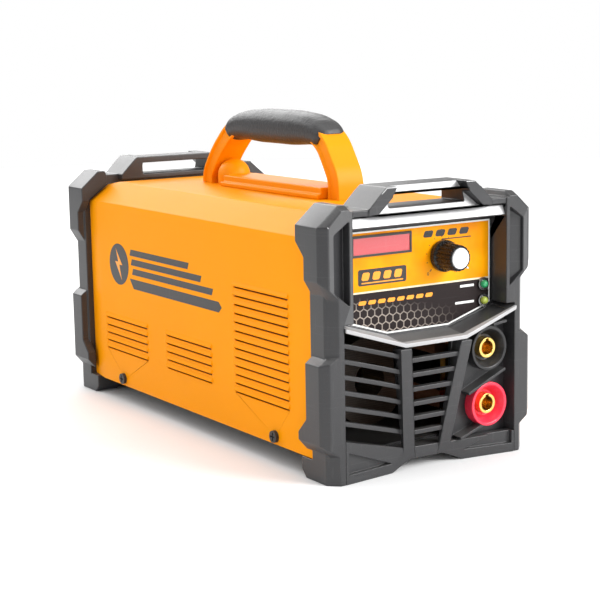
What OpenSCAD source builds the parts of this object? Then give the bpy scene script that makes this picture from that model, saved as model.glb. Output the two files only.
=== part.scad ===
// Stick welding inverter: two moulded end frames carry a folded sheet cover, a control panel with
// its output sockets, a carrying handle, a rear fan and the power electronics between them.
// Origin: middle of the footprint, on the plane of the feet. The control panel faces -Y, +Z is up.

/* [Case] */
// Length from the front rim to the rear rim
case_l = 359; // [330:1:420]
// Width over the corner pads
case_w = 166; // [160:1:200]
// Height of the end frames at their top bars
case_h = 181; // [175:1:217]
// How far the nose, the knob and the mains gland stand beyond the rims
reach = 4.5; // [2:0.5:6]

/* [End frames] */
// Depth of an end frame where its posts are narrow
frame_d = 21.8; // [20:0.1:26]
// Depth of the wings that lap over the cover
wing_d = 29.3; // [27:0.1:34]
// Chamfer along the front edge of the corner pads
pad_chamfer = 5; // [3:0.5:6.5]
// How far the posts step in from the pads
neck_step = 5.3; // [4:0.1:6]
// Length of a foot under the cover
foot_l = 34; // [30:1:40]
// Height of the cover's lower edge above the feet
ground_gap = 13.3; // [10:0.1:16]

/* [Cover] */
// Gap between the pad faces and the cover's side
cover_inset = 6.5; // [6:0.1:9]
// Height that the shoulders take at the top of the cover's sides
shoulder_h = 13.3; // [9:0.1:16]
// Width that each shoulder takes from the cover's top
shoulder_w = 18; // [12:0.5:24]
// Thickness of the folded sheet
sheet_t = 1.2; // [0.8:0.1:2]
// How far the rear end of the cover tapers in
taper_in = 3.5; // [2:0.5:5]
// Length of that taper
taper_l = 20; // [12:1:30]
// Height between two louvres
louvre_pitch = 5.9; // [5:0.1:8]

/* [Panel] */
// Depth of the control panel behind the rim
panel_y = 16; // [13:0.5:18]
// Thickness of the moulded panel
panel_t = 3; // [2:0.5:4]
// Height of the shelf's lip at the nose
shelf_z = 83.9; // [80:0.1:88]
// Distance between two grille slats
slat_pitch = 9.7; // [8:0.1:12]
// Thickness of a grille slat
slat_t = 3; // [2:0.1:4]
// Diameter of the knob's skirt
knob_d = 20.4; // [16:0.2:22]
// Diameter of the potentiometer shaft
shaft_d = 6; // [5:0.5:6.5]
// Diameter of an indicator lamp
lamp_d = 5; // [4:0.5:6]

/* [Sockets] */
// Outer diameter of a socket collar
collar_d = 29; // [26:0.5:31]
// Outer diameter of a brass contact
contact_d = 13.4; // [12:0.1:15]
// Bore of a brass contact, for the plug's pin
plug_bore_d = 9.1; // [8:0.1:10]
// Depth of that bore
plug_bore_l = 20; // [16:1:24]
// Distance between the two sockets
socket_gap = 37; // [33:0.5:42]

/* [Handle] */
// Height of the grip's top above the feet
handle_top_z = 221.5; // [216:0.5:248]
// Width of the handle's legs
leg_w = 21; // [17:0.5:25]
// Width of the soft grip
grip_w = 28; // [25:0.5:34]
// Thickness of a leg, front to back
leg_t = 14; // [11:0.5:18]

/* [Rear] */
// Side of the square fan housing
fan_size = 110; // [92:1:112]
// Depth of the fan housing
fan_d = 25; // [25:1:32]
// Bore of the gland's seal, for the mains cable
cable_bore_d = 10; // [7:0.5:11]
// How far the power rocker tilts between off and on
rocker_tilt = 20; // [14:1:24]

/* [Hidden] */
$fn = 64;
eps = 0.01;
half_w = case_w / 2;
neck_x = half_w - neck_step;
neck_chamfer = neck_step + 1.4;
rim_x = half_w - pad_chamfer;
opening_top_x = half_w - 23;
opening_low_x = half_w - 16;
opening_top_z = case_h - 24.2;
valley_z = case_h - 12.7;
groove_z = opening_top_z + 7.6;
pad_low_z = [18, 22.8, 77, 80.6];
pad_high_z = [case_h - 66, case_h - 59.4, case_h - 21.3, case_h - 9];
step_z = shelf_z + 15.6;
cover_x = half_w - cover_inset;
cover_top_z = case_h - 16.8;
crease_z = cover_top_z - shoulder_h;
top_x = cover_x - shoulder_w;
cover_l = case_l - 2 * frame_d;
slot_x = 29.6;
slot_z = [case_h - 13.3, case_h - 4.7];
board_z = 84;
board_t = 1.6;
pan_z = ground_gap + sheet_t;
fit = 0.2;
touch = 0.1;
screw_d = 4;

// Nose of the grille: the line of the lip and the rake below it
nose_x = 23.9;
lip_rise = 13.3;
lip_slope = lip_rise / (opening_low_x - nose_x);
nose_foot_x = 13.3;
nose_foot_y = 7;
arch_z = 6.2;
foot_x = 28.5;

// Control panel positions, from the middle of the panel and the top of the frame
label_top_z = case_h - 27.7;
label_x = half_w - 24.5;
label_t = 0.6;
label_flat_x = 24.2;
label_chamfer_x = label_x - 6.6;
shelf_tilt = 8.7;
shelf_rise = (panel_y + reach) * sin(shelf_tilt);
label_low_z = shelf_z + shelf_rise + 0.5;
label_side_z = lip_z(label_chamfer_x) + shelf_rise + 0.5;
window_x = [-50, -6.5];
window_z = [case_h - 42.2, case_h - 31.6];
knob_x = 19.2;
knob_z = case_h - 48;
lamp_x = label_x - 6;
bezel_d = lamp_d + 3.4;
lamp_z = [case_h - 69.5, lip_z(lamp_x) + shelf_rise + bezel_d / 2 + 0.67];
nut_d = 12;
bushing_d = shaft_d + 3;
board_y = panel_y + panel_t + 11;
board_post_at = [
    [-54, label_top_z - 4], [54, label_top_z - 4], [-44, lamp_z[1] + 1.5], [44, lamp_z[1] + 1.5]
];
panel_screw_x = opening_top_x - 2.7;
panel_screw_z = [opening_top_z - 16, opening_top_z - 25];

// Output sockets
socket_x = 48.5;
socket_z = [34, 34 + socket_gap];
wall_y = 11;
wall_t = 3;
barrel_d = contact_d + 6.6;
collar_y = 3;
contact_y = collar_y + 2.2;
contact_end_y = 33;

// Rear panel
rear_t = sheet_t;
fan_z = pan_z + 0.6 + fan_size / 2;
fan_bore_d = fan_size - 6;
fan_pitch = fan_size - 15;
hub_d = 42;
rear_row_z = (fan_z + fan_size / 2 + opening_top_z) / 2;
gland_x = -36;
gland_thread_d = 20;
gland_bore_d = cable_bore_d + 3.2;
switch_x = 30;
switch_w = 28;
switch_h = 20;
earth_x = -2;

// Handle line, seen from the side, measured from the front rim
leg_front_y = 87;
leg_rear_y = 270;
grip_y = [108, 235];
leg_knee_z = cover_top_z + 12;
grip_low_z = handle_top_z - 24;
grip_end_z = handle_top_z - 14;
grip_mid_y = (grip_y[0] + grip_y[1]) / 2;
plinth_y = [leg_front_y + leg_t + 2, leg_rear_y - leg_t - 24];
dome_y = leg_rear_y - 30;
dome_r = 12;

// ---------- helpers ----------

// Both halves of something symmetric about the middle plane
module both_sides() {
    children();
    mirror([1, 0, 0]) children();
}

// Places children measured from the front rim, y growing towards the rear
module from_front() {
    translate([0, -case_l / 2, 0]) children();
}

// Places children measured from the rear rim, y growing towards the front
module from_rear() {
    mirror([0, 1, 0]) from_front() children();
}

// Extrudes an outline drawn as seen from the front, from y0 over a depth
module front_view(y0, depth) {
    translate([0, y0 + depth, 0]) rotate([90, 0, 0]) linear_extrude(depth) children();
}

// Extrudes an outline drawn as seen from the side (y, z), from x0 over a width
module side_view(x0, width) {
    translate([x0, 0, 0]) rotate([90, 0, 90]) linear_extrude(width) children();
}

// A rod along Y
module rod_y(d, y0, length) {
    translate([0, y0 + length, 0]) rotate([90, 0, 0]) cylinder(d = d, h = length);
}

// A box from one corner to the other
module block(low, high) {
    translate(low) cube(high - low);
}

// A pan-head screw along Y, its head's outer face at y = 0 and the shank towards +Y
module screw_y(d, length) {
    difference() {
        rod_y(2 * d, 0, 0.6 * d);
        translate([0, -eps, 0]) front_view(0, 0.3 * d) square([1.4 * d, 0.28 * d], center = true);
        translate([0, -eps, 0]) front_view(0, 0.3 * d) square([0.28 * d, 1.4 * d], center = true);
    }
    rod_y(d, 0.6 * d, length);
}

// Height of the shelf's lip at a distance from the middle
function lip_z(x) = shelf_z + lip_slope * max(0, abs(x) - nose_x);

// ---------- end frames ----------

// Outline of a lower corner pad, with its outer face at x
module low_pad_outline(x) {
    slope = (x - neck_x) * 0.6;
    polygon([
        [opening_low_x, pad_low_z[0] - 3], [x - 7, pad_low_z[0]], [x, pad_low_z[1] + slope],
        [x, pad_low_z[2] - slope / 2], [x - 7, pad_low_z[3]], [opening_low_x, pad_low_z[3] + 2]
    ]);
}

// Outline of an upper corner pad, with its outer face at x and its sloping top at top_z
module high_pad_outline(x, top_z) {
    polygon([
        [opening_top_x + 1, pad_high_z[0]], [x - 7, pad_high_z[0]],
        [x, pad_high_z[1] + (x - rim_x)], [x, pad_high_z[2]],
        [opening_top_x + 8.5, top_z], [opening_top_x + 2.5, top_z], [opening_top_x + 1, top_z - 4]
    ]);
}

// A corner pad, chamfered along its front edge
module low_pad() {
    hull() {
        front_view(0, eps) low_pad_outline(rim_x);
        front_view(pad_chamfer, wing_d - pad_chamfer) low_pad_outline(half_w);
    }
}

module high_pad() {
    hull() {
        front_view(0, eps) high_pad_outline(rim_x, pad_high_z[3] - 2.7);
        front_view(pad_chamfer, wing_d - pad_chamfer) high_pad_outline(half_w, pad_high_z[3]);
    }
}

// What is cut from the pads behind the posts, so that only the wings lap over the cover
module wing_relief() {
    side_view(opening_top_x, half_w - opening_top_x + 1) polygon([
        [frame_d - 1.5, pad_low_z[0] + 22], [wing_d, pad_low_z[0] + 13], [wing_d + 1, pad_low_z[0] + 13],
        [wing_d + 1, pad_high_z[2] - 10], [wing_d, pad_high_z[2] - 10], [frame_d - 1.5, pad_high_z[2] - 19]
    ]);
}

// The cover's outline, grown by a margin
module cover_outline(grow) {
    polygon([
        [-cover_x - grow, ground_gap - grow], [-cover_x - grow, crease_z + 0.4 * grow],
        [-top_x - 0.4 * grow, cover_top_z + grow], [top_x + 0.4 * grow, cover_top_z + grow],
        [cover_x + grow, crease_z + 0.4 * grow], [cover_x + grow, ground_gap - grow]
    ]);
}

// One post with its foot
module post() {
    linear_extrude(pad_high_z[2]) polygon([
        [opening_top_x, 0], [neck_x - neck_chamfer, 0], [neck_x, neck_chamfer],
        [neck_x, frame_d], [opening_top_x, frame_d]
    ]);
    block([opening_top_x, 0, opening_top_z], [opening_top_x + 3, frame_d, valley_z]);
    side_view(foot_x, neck_x - foot_x) polygon([
        [nose_foot_y + 2, 0], [foot_l - 5, 0], [foot_l, 5], [foot_l, ground_gap], [nose_foot_y + 2, ground_gap]
    ]);
}

// The pocket in a post: a five-sided opening whose floor slopes in towards the panel
module post_pocket() {
    outer_x = half_w - 9.3;
    inner_x = half_w - 20.1;
    intersection() {
        front_view(-1, 9) polygon([
            [outer_x, pad_high_z[2] - 5], [inner_x, pad_high_z[2] + 2.5],
            [inner_x, pad_high_z[0] - 4], [outer_x, pad_high_z[1] - 1.6]
        ]);
        linear_extrude(case_h) polygon([
            [outer_x, -1], [outer_x, 2.7], [inner_x, 7], [inner_x, -1]
        ]);
    }
}

// The beam across the top: brow strip, step and the foot of the hump
module top_beam() {
    side_view(-opening_top_x - eps, 2 * opening_top_x + 2 * eps) polygon([
        [frame_d, opening_top_z], [2, opening_top_z], [4.5, groove_z - 1], [8, groove_z - 1],
        [8, groove_z], [1, groove_z], [1, valley_z], [frame_d, valley_z]
    ]);
}

// The hump, with a sloping face between its two shoulders and a slot right through
module top_hump() {
    front_view(0, wing_d) polygon([
        [-48, cover_top_z], [-48, valley_z], [-38.6, case_h - 3.5], [-34.5, case_h],
        [34.5, case_h], [38.6, case_h - 3.5], [48, valley_z], [48, cover_top_z]
    ]);
}

// What is cut from the front of the hump and beam to leave the sloping face
module hump_face_cut() {
    intersection() {
        front_view(-1, 16) polygon([
            [-41, groove_z - 0.1], [-29.6, case_h - 6.5], [-26, case_h + 1],
            [26, case_h + 1], [29.6, case_h - 6.5], [41, groove_z - 0.1]
        ]);
        side_view(-50, 100) polygon([
            [-1, groove_z - 0.1], [4, groove_z - 0.1], [10, case_h + 0.1], [10, case_h + 2], [-1, case_h + 2]
        ]);
    }
}

// The moulding shared by both ends
module end_frame(panel_back_y, sill_y) {
    difference() {
        union() {
            both_sides() {
                post();
                difference() {
                    union() {
                        low_pad();
                        high_pad();
                    }
                    wing_relief();
                }
            }
            top_beam();
            top_hump();
            front_view(sill_y, frame_d - sill_y) polygon([
                [-neck_x + 7, ground_gap], [-neck_x + 7, 0], [-foot_x, 0], [-nose_foot_x, arch_z],
                [nose_foot_x, arch_z], [foot_x, 0], [neck_x - 7, 0], [neck_x - 7, ground_gap]
            ]);
        }
        hump_face_cut();
        front_view(-1, wing_d + 2) polygon([
            [-slot_x, slot_z[0]], [-slot_x, slot_z[1]], [slot_x, slot_z[1]], [slot_x, slot_z[0]]
        ]);
        both_sides() post_pocket();
        // the space that the grille, the panel and the cover take
        front_view(-1, frame_d + 2) polygon([
            [-opening_low_x, ground_gap], [-opening_low_x, step_z], [opening_low_x, step_z], [opening_low_x, ground_gap]
        ]);
        front_view(-1, sill_y + 1) polygon([
            [-opening_low_x, -1], [-opening_low_x, step_z], [opening_low_x, step_z], [opening_low_x, -1]
        ]);
        front_view(-1, frame_d + 2) polygon([
            [-opening_top_x, ground_gap], [-opening_top_x, opening_top_z],
            [opening_top_x, opening_top_z], [opening_top_x, ground_gap]
        ]);
        front_view(frame_d, wing_d) cover_outline(0);
        both_sides() translate([half_w - 28, foot_l - 7, 0]) {
            translate([0, 0, -1]) cylinder(d = screw_d + 2 * fit, h = ground_gap + 2);
            translate([0, 0, -1]) cylinder(d = 2 * screw_d + 1, h = 6);
        }
    }
    // lugs behind the panel, for its screws
    both_sides() for (z = panel_screw_z) difference() {
        block([panel_screw_x - 2, panel_back_y, z - 4], [opening_top_x + eps, frame_d, z + 4]);
        translate([panel_screw_x, 0, z]) rod_y(2.5 + fit, panel_back_y - 1, frame_d);
    }
}

module front_frame() {
    color("#4a4a4a") from_front() end_frame(panel_y + panel_t, nose_foot_y + 2);
}

module rear_frame() {
    color("#4a4a4a") from_rear() end_frame(panel_y + rear_t, 2);
}

// Four screws from under the feet into the base pan
module frame_screws() {
    color("silver") for (end = [0, 1]) mirror([0, end, 0]) from_front()
        both_sides() translate([half_w - 28, foot_l - 7, 5 - 0.6 * screw_d]) rotate([90, 0, 0])
            screw_y(screw_d, pan_z - 5 + 0.4);
}

// ---------- front ----------

// One slab of the raked grille: four corners of its face and a depth
module grille_slab(corners, depth) {
    faces = [
        [0, 1, 2], [0, 2, 3], [6, 5, 4], [7, 6, 4], [1, 0, 4], [1, 4, 5],
        [2, 1, 5], [2, 5, 6], [3, 2, 6], [3, 6, 7], [0, 3, 7], [0, 7, 4]
    ];
    polyhedron(concat(corners, [for (c = corners) c + [0, depth, 0]]), faces);
}

// A nose bar, from the lip down to the arch
module nose_bar() {
    hull() {
        block([nose_x - 4.3, 0.2 - reach, shelf_z - 4.4], [nose_x + 4.3, 5, shelf_z - 3.4]);
        block([nose_foot_x - 4.3, nose_foot_y, arch_z], [nose_foot_x + 4.3, nose_foot_y + 2, arch_z + 1]);
    }
}

// The lower skirt in front of the feet, with a triangular pocket on each side
module skirt() {
    difference() {
        intersection() {
            front_view(-1, nose_foot_y + 3) polygon([
                [-opening_low_x, 0], [-opening_low_x, 27.5], [-17, arch_z + 8], [17, arch_z + 7],
                [opening_low_x, arch_z + 8], [opening_low_x, 0], [foot_x, 0], [nose_foot_x, arch_z],
                [-nose_foot_x, arch_z], [-foot_x, 0]
            ]);
            linear_extrude(40) polygon([
                [-opening_low_x, 0], [-nose_foot_x, nose_foot_y], [nose_foot_x, nose_foot_y],
                [opening_low_x, 0], [opening_low_x, nose_foot_y + 2], [-opening_low_x, nose_foot_y + 2]
            ]);
        }
        both_sides() intersection() {
            front_view(-1, nose_foot_y + 3) polygon([
                [opening_low_x - 2, 6], [opening_low_x - 2, 11.5], [opening_low_x - 2, 20], [29, 6.5]
            ]);
            linear_extrude(40) polygon([
                [opening_low_x, -1], [opening_low_x, 3], [nose_foot_x, nose_foot_y + 3], [nose_foot_x, -1]
            ]);
        }
    }
}

// Slats of the side facet, parallel to the lip
module side_slats() {
    for (i = [0 : 5]) {
        top_z = shelf_z - 8.7 - i * slat_pitch;
        front_view(-reach - 1, 20) polygon([
            [-nose_x + 4, top_z], [-opening_low_x, top_z + lip_slope * (opening_low_x - nose_x)],
            [-opening_low_x, top_z + lip_slope * (opening_low_x - nose_x) - slat_t], [-nose_x + 4, top_z - slat_t]
        ]);
    }
}

// Level slats of the middle facet
module middle_slats() {
    for (i = [0 : 5]) {
        top_z = shelf_z - 10.4 - i * slat_pitch;
        front_view(-reach - 1, 20) polygon([
            [-nose_x, top_z], [nose_x, top_z], [nose_x, top_z - slat_t], [-nose_x, top_z - slat_t]
        ]);
    }
}

module front_grille() {
    color("#565656") from_front() {
        both_sides() nose_bar();
        skirt();
        intersection() {
            side_slats();
            grille_slab([
                [-opening_low_x, 1.2, 96], [-nose_x + 4, 1.4 - reach, 80],
                [-nose_foot_x + 3, nose_foot_y + 1, 8], [-opening_low_x, 1.2, 20]
            ], 5);
        }
        intersection() {
            middle_slats();
            grille_slab([
                [-nose_x, 1.2 - reach, 82], [nose_x, 1.2 - reach, 82],
                [nose_foot_x, nose_foot_y + 1, 8], [-nose_foot_x, nose_foot_y + 1, 8]
            ], 5);
        }
    }
}

// Outline of the label: a sheet with its lower corners cut along the shelf
module label_outline(grow) {
    polygon([
        [-label_x - grow, label_top_z + grow], [label_x + grow, label_top_z + grow],
        [label_x + grow, label_side_z + 3], [label_chamfer_x, label_side_z - grow],
        [label_flat_x, label_low_z - grow], [-label_flat_x, label_low_z - grow],
        [-label_chamfer_x, label_side_z - grow], [-label_x - grow, label_side_z + 3]
    ]);
}

// The shelf below the label, falling towards its lip
module shelf() {
    translate([0, -reach, shelf_z]) rotate([shelf_tilt, 0, 0]) translate([0, 0, -shelf_z]) difference() {
        intersection() {
            front_view(0, 30) polygon([
                [-opening_low_x, lip_z(opening_low_x)], [-nose_x, shelf_z], [nose_x, shelf_z],
                [opening_low_x, lip_z(opening_low_x)], [opening_low_x, lip_z(opening_low_x) - 2.6],
                [nose_x, shelf_z - 2.6], [-nose_x, shelf_z - 2.6], [-opening_low_x, lip_z(opening_low_x) - 2.6]
            ]);
            linear_extrude(140) polygon([
                [-opening_low_x, reach], [-nose_x, 0], [nose_x, 0], [opening_low_x, reach],
                [opening_low_x, 29], [-opening_low_x, 29]
            ]);
        }
        // the tread behind the lip lies a little lower
        intersection() {
            front_view(0, 22) polygon([
                [-opening_top_x, lip_z(opening_top_x) + 2], [-nose_x, shelf_z + 1.4], [nose_x, shelf_z + 1.4],
                [opening_top_x, lip_z(opening_top_x) + 2], [opening_top_x, lip_z(opening_top_x) - 0.8],
                [nose_x, shelf_z - 0.8], [-nose_x, shelf_z - 0.8], [-opening_top_x, lip_z(opening_top_x) - 0.8]
            ]);
            linear_extrude(140) polygon([
                [-opening_low_x, reach + 4.2], [-nose_x, 4.2], [nose_x, 4.2], [opening_low_x, reach + 4.2],
                [opening_low_x, 20.4], [-opening_low_x, 20.4]
            ]);
        }
    }
}

// A diagonal rib standing on the socket wall, from one end to the other
module recess_rib(a, b) {
    length = norm(b - a);
    angle = atan2(b[1] - a[1], b[0] - a[0]);
    translate([a[0], 0, a[1]]) rotate([0, -angle, 0]) block([0, 2.5, -0.9], [length, wall_y + eps, 0.9]);
}

module front_fascia() {
    color("#3c3c3c") from_front() difference() {
        union() {
            front_view(panel_y, panel_t) polygon([
                [-opening_top_x, opening_top_z], [opening_top_x, opening_top_z],
                [opening_top_x, step_z], [opening_low_x, step_z], [opening_low_x, lip_z(opening_low_x) + 2],
                [nose_x, shelf_z + 1], [-nose_x, shelf_z + 1],
                [-opening_low_x, lip_z(opening_low_x) + 2], [-opening_low_x, step_z], [-opening_top_x, step_z]
            ]);
            difference() {
                shelf();
                block([-half_w, -reach, step_z], [half_w, 40, step_z + 10]);
                block([-half_w, panel_y + panel_t, 0], [half_w, 40, step_z + 1]);
            }
            // socket wall with its cheek behind the nose bar
            front_view(wall_y, wall_t) polygon([
                [nose_x - 1, ground_gap], [opening_low_x, ground_gap],
                [opening_low_x, lip_z(opening_low_x)], [nose_x - 1, shelf_z]
            ]);
            recess_rib([31, 43], [socket_x + 13, socket_z[1] - 15]);
            recess_rib([24.5, 14.5], [45, 21.5]);
            recess_rib([socket_x + 3, socket_z[1] + 15.2], [socket_x + 14, socket_z[1] + 16.5]);
            // posts that carry the control board
            for (p = board_post_at)
                translate([p[0], 0, p[1]]) rod_y(7, panel_y + panel_t - eps, board_y - panel_y - panel_t + eps);
        }
        for (p = board_post_at) translate([p[0], 0, p[1]]) rod_y(2.5, board_y - 7, 8);
        for (z = socket_z) translate([socket_x, 0, z]) {
            rod_y(barrel_d + 2 * fit, wall_y - 1, wall_t + 2);
            rod_y(collar_d + 2 * fit, collar_y - 1, wall_y - collar_y + 1);
        }
        translate([knob_x, 0, knob_z]) rod_y(bushing_d + 2 * fit, panel_y - 1, panel_t + 2);
        for (z = lamp_z) translate([lamp_x, 0, z]) rod_y(lamp_d + 2 * fit, panel_y - 1, panel_t + 2);
        front_view(panel_y - 1, panel_t + 2) polygon([
            [window_x[0], window_z[0]], [window_x[0], window_z[1]],
            [window_x[1], window_z[1]], [window_x[1], window_z[0]]
        ]);
        for (x = [-1, 1], z = panel_screw_z)
            translate([x * panel_screw_x, 0, z]) rod_y(2.5, panel_y + panel_t - 2, 3);
    }
}

// Screws through the frames' lugs: the fascia's from behind, the rear panel's from outside
module panel_screws() {
    color("silver") {
        from_front() for (x = [-1, 1], z = panel_screw_z)
            translate([x * panel_screw_x, frame_d + 1.5, z]) mirror([0, 1, 0]) screw_y(2.5, frame_d - panel_y - panel_t + 2);
        from_rear() for (x = [-1, 1], z = panel_screw_z)
            translate([x * panel_screw_x, panel_y - 1.5, z]) screw_y(2.5, rear_t + 4);
    }
}

// The printed label that covers the panel
module control_label() {
    color("orange") from_front() difference() {
        front_view(panel_y - label_t, label_t) label_outline(0);
        translate([knob_x, 0, knob_z]) rod_y(bushing_d + 2 * fit, panel_y - 2, 4);
        for (z = lamp_z) translate([lamp_x, 0, z]) rod_y(lamp_d + 2 * fit, panel_y - 2, 4);
        front_view(panel_y - 2, 4) polygon([
            [window_x[0], window_z[0]], [window_x[0], window_z[1]],
            [window_x[1], window_z[1]], [window_x[1], window_z[0]]
        ]);
    }
}

// The tinted lens over the digits
module display_window() {
    color("#c03030") from_front()
        block([window_x[0] + touch, panel_y - 1.2, window_z[0] + touch], [window_x[1] - touch, panel_y + 1.6, window_z[1] - touch]);
}

module display_module() {
    color("#202020") from_front()
        block([window_x[0] + 1, panel_y + 1.6, window_z[0] + 1], [window_x[1] - 1, board_y, window_z[1] - 1]);
}

// ---------- current knob ----------

knob_back_y = panel_y - label_t - 1;
knob_front_y = 0.6 - reach;

module knob() {
    color("#1a1a1a") from_front() translate([knob_x, 0, knob_z]) difference() {
        union() {
            translate([0, knob_back_y, 0]) rotate([90, 0, 0]) cylinder(d1 = knob_d, d2 = knob_d - 2.4, h = 5);
            rod_y(knob_d - 4.4, knob_front_y, knob_back_y - knob_front_y - 4);
            for (i = [0 : 11]) rotate([0, i * 30, 0])
                block([knob_d / 2 - 3, knob_front_y + 1, -0.7], [knob_d / 2 - 1.5, knob_back_y - 4.5, 0.7]);
        }
        rod_y(shaft_d, knob_front_y + 4, 30);
        rod_y(nut_d + 1.6, knob_back_y - 3.5, 6);
        rod_y(knob_d - 6.7, knob_front_y - 1, 2.2);
    }
}

module knob_cap() {
    color("#d8d8d8") from_front() translate([knob_x, 0, knob_z])
        rod_y(knob_d - 6.7, -reach, 0.6 + 1.2);
}

module pot_shaft() {
    color("silver") from_front() translate([knob_x, 0, knob_z])
        rod_y(shaft_d, knob_front_y + 4, panel_y + panel_t + 5 - knob_front_y - 4);
}

module pot_body() {
    color("#606060") from_front() translate([knob_x, 0, knob_z]) difference() {
        union() {
            rod_y(16, panel_y + panel_t, board_y - panel_y - panel_t);
            rod_y(bushing_d, knob_back_y - 1.6, panel_t + 3);
        }
        rod_y(shaft_d + 0.1, 0, panel_y + panel_t + 5.5);
    }
}

module pot_nut() {
    color("silver") from_front() translate([knob_x, 0, knob_z]) difference() {
        translate([0, panel_y - label_t, 0]) rotate([90, 0, 0]) cylinder(d = nut_d, h = 2.2, $fn = 6);
        rod_y(bushing_d, 0, 40);
    }
}

// ---------- lamps and control board ----------

module led_bezels() {
    color("silver") from_front() for (z = lamp_z) translate([lamp_x, 0, z]) difference() {
        rod_y(bezel_d, panel_y - label_t - 1.6, 1.6);
        rod_y(lamp_d + fit, 0, 40);
    }
}

// A lamp: its domed lens, body and two leads to the control board
module lamp(z) {
    translate([lamp_x, 0, z]) {
        rod_y(lamp_d, panel_y - 2.6, panel_t + 4);
        translate([0, panel_y - 2.6, 0]) sphere(d = lamp_d);
        for (x = [-1.27, 1.27]) translate([x, 0, 0]) rod_y(0.6, panel_y + panel_t, board_y - panel_y - panel_t);
    }
}

module power_lamp() {
    color("green") from_front() lamp(lamp_z[0]);
}

module overheat_lamp() {
    color("yellow") from_front() lamp(lamp_z[1]);
}

module control_board() {
    color("#1f5a34") from_front() difference() {
        block([-58, board_y, lamp_z[1] - 5], [58, board_y + board_t, label_top_z]);
        for (p = board_post_at) translate([p[0], 0, p[1]]) rod_y(3, board_y - 1, 4);
    }
}

module control_board_screws() {
    color("silver") from_front() for (p = board_post_at)
        translate([p[0], board_y + board_t + 1.5, p[1]]) mirror([0, 1, 0]) screw_y(2.5, 7);
}

// ---------- output sockets ----------

// An insulating shell: a flared collar in front of the wall and a barrel through it
module socket_shell(z) {
    translate([socket_x, 0, z]) difference() {
        union() {
            rod_y(collar_d, collar_y, wall_y - collar_y);
            rod_y(barrel_d, wall_y, 13);
        }
        translate([0, collar_y + 7, 0]) rotate([90, 0, 0])
            cylinder(d1 = contact_d + 4, d2 = collar_d - 4, h = 7 + eps);
        rod_y(contact_d, 0, 40);
    }
}

module negative_socket_shell() {
    color("#202020") from_front() socket_shell(socket_z[1]);
}

module positive_socket_shell() {
    color("#e0203a") from_front() socket_shell(socket_z[0]);
}

// A brass contact: bored from the front for the plug's pin, with a keyway, tapped from behind
module contact(z) {
    translate([socket_x, 0, z]) difference() {
        rod_y(contact_d, contact_y, contact_end_y - contact_y);
        rod_y(plug_bore_d, contact_y - 1, plug_bore_l + 1);
        block([-1.1, contact_y - 1, 0], [1.1, contact_y + 9, contact_d / 2 - 0.9]);
        rod_y(4, contact_end_y - 4, 5);
    }
}

module negative_contact() {
    color("#d8a840") from_front() contact(socket_z[1]);
}

module positive_contact() {
    color("#d8a840") from_front() contact(socket_z[0]);
}

module socket_locknuts() {
    color("#303030") from_front() for (z = socket_z) translate([socket_x, 0, z]) difference() {
        translate([0, wall_y + wall_t + 6, 0]) rotate([90, 0, 0]) cylinder(d = barrel_d + 9, h = 6, $fn = 6);
        rod_y(barrel_d, 0, 40);
    }
}

// Bolts that clamp the busbars to the contacts
module contact_bolts() {
    color("silver") from_front() for (z = socket_z) translate([socket_x, contact_end_y + 2 + 2.4, z])
        mirror([0, 1, 0]) screw_y(4, 6);
}

// A copper strip from a contact back to the electronics: out sideways, then along the case
module busbar(z, end_x, end_y) {
    difference() {
        union() {
            block([socket_x - 7, contact_end_y, z - 6], [socket_x + 7, contact_end_y + 2, z + 6]);
            block([end_x, contact_end_y, z - 6], [socket_x - 6, contact_end_y + 2, z + 6]);
            block([end_x, contact_end_y, z - 6], [end_x + 2, end_y, z + 6]);
        }
        translate([socket_x, 0, z]) rod_y(4 + 2 * fit, contact_end_y - 1, 4);
    }
}

module negative_busbar() {
    color("#b86a3a") from_front() busbar(socket_z[1], 27, choke_y - 18);
}

module positive_busbar() {
    color("#b86a3a") from_front() busbar(socket_z[0], 31, heatsink_y - 2);
}

// ---------- cover and base ----------

// The outline of the tapered rear end, drawn in by an amount
module tapered_outline(inset) {
    polygon([
        [-cover_x + inset, ground_gap], [-cover_x + inset, crease_z - 0.4 * inset],
        [-top_x + 0.4 * inset, cover_top_z - inset], [top_x - 0.4 * inset, cover_top_z - inset],
        [cover_x - inset, crease_z - 0.4 * inset], [cover_x - inset, ground_gap]
    ]);
}

// Solid volume inside the cover's skin, drawn in by an inset
module cover_volume(inset, extra) {
    straight_l = cover_l - taper_l - 2;
    translate([0, frame_d, 0]) {
        front_view(-extra, straight_l + extra) tapered_outline(inset);
        hull() {
            front_view(straight_l - eps, eps) tapered_outline(inset);
            front_view(straight_l + taper_l, 2 + extra) tapered_outline(inset + taper_in);
        }
    }
}

// Rows of louvres: distance from the front rim, length, height of the lowest row, number of rows
louvre_groups = [[48, 68, 40, 13], [146, 66, 40, 5], [240, 68, 40, 5]];

// One pressed louvre: a hood outside the skin
module louvre_hood(length) {
    translate([cover_x, length, 0]) rotate([90, 0, 0])
        linear_extrude(length) polygon([[-eps, 0], [1.3, 0.3], [1.3, 0.9], [-eps, 3.4]]);
}

module louvres(cut) {
    for (g = louvre_groups, row = [0 : g[3] - 1]) {
        z = g[2] + row * louvre_pitch;
        if (cut) block([cover_x - sheet_t - 1, g[0] + 1, z - 1.3], [cover_x + 2, g[0] + g[1] - 1, z]);
        else translate([0, g[0], z]) louvre_hood(g[1]);
    }
}

cover_screw_y = [66.2, case_l - 77.7];
cover_screw_z = ground_gap + 5.5;

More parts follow.
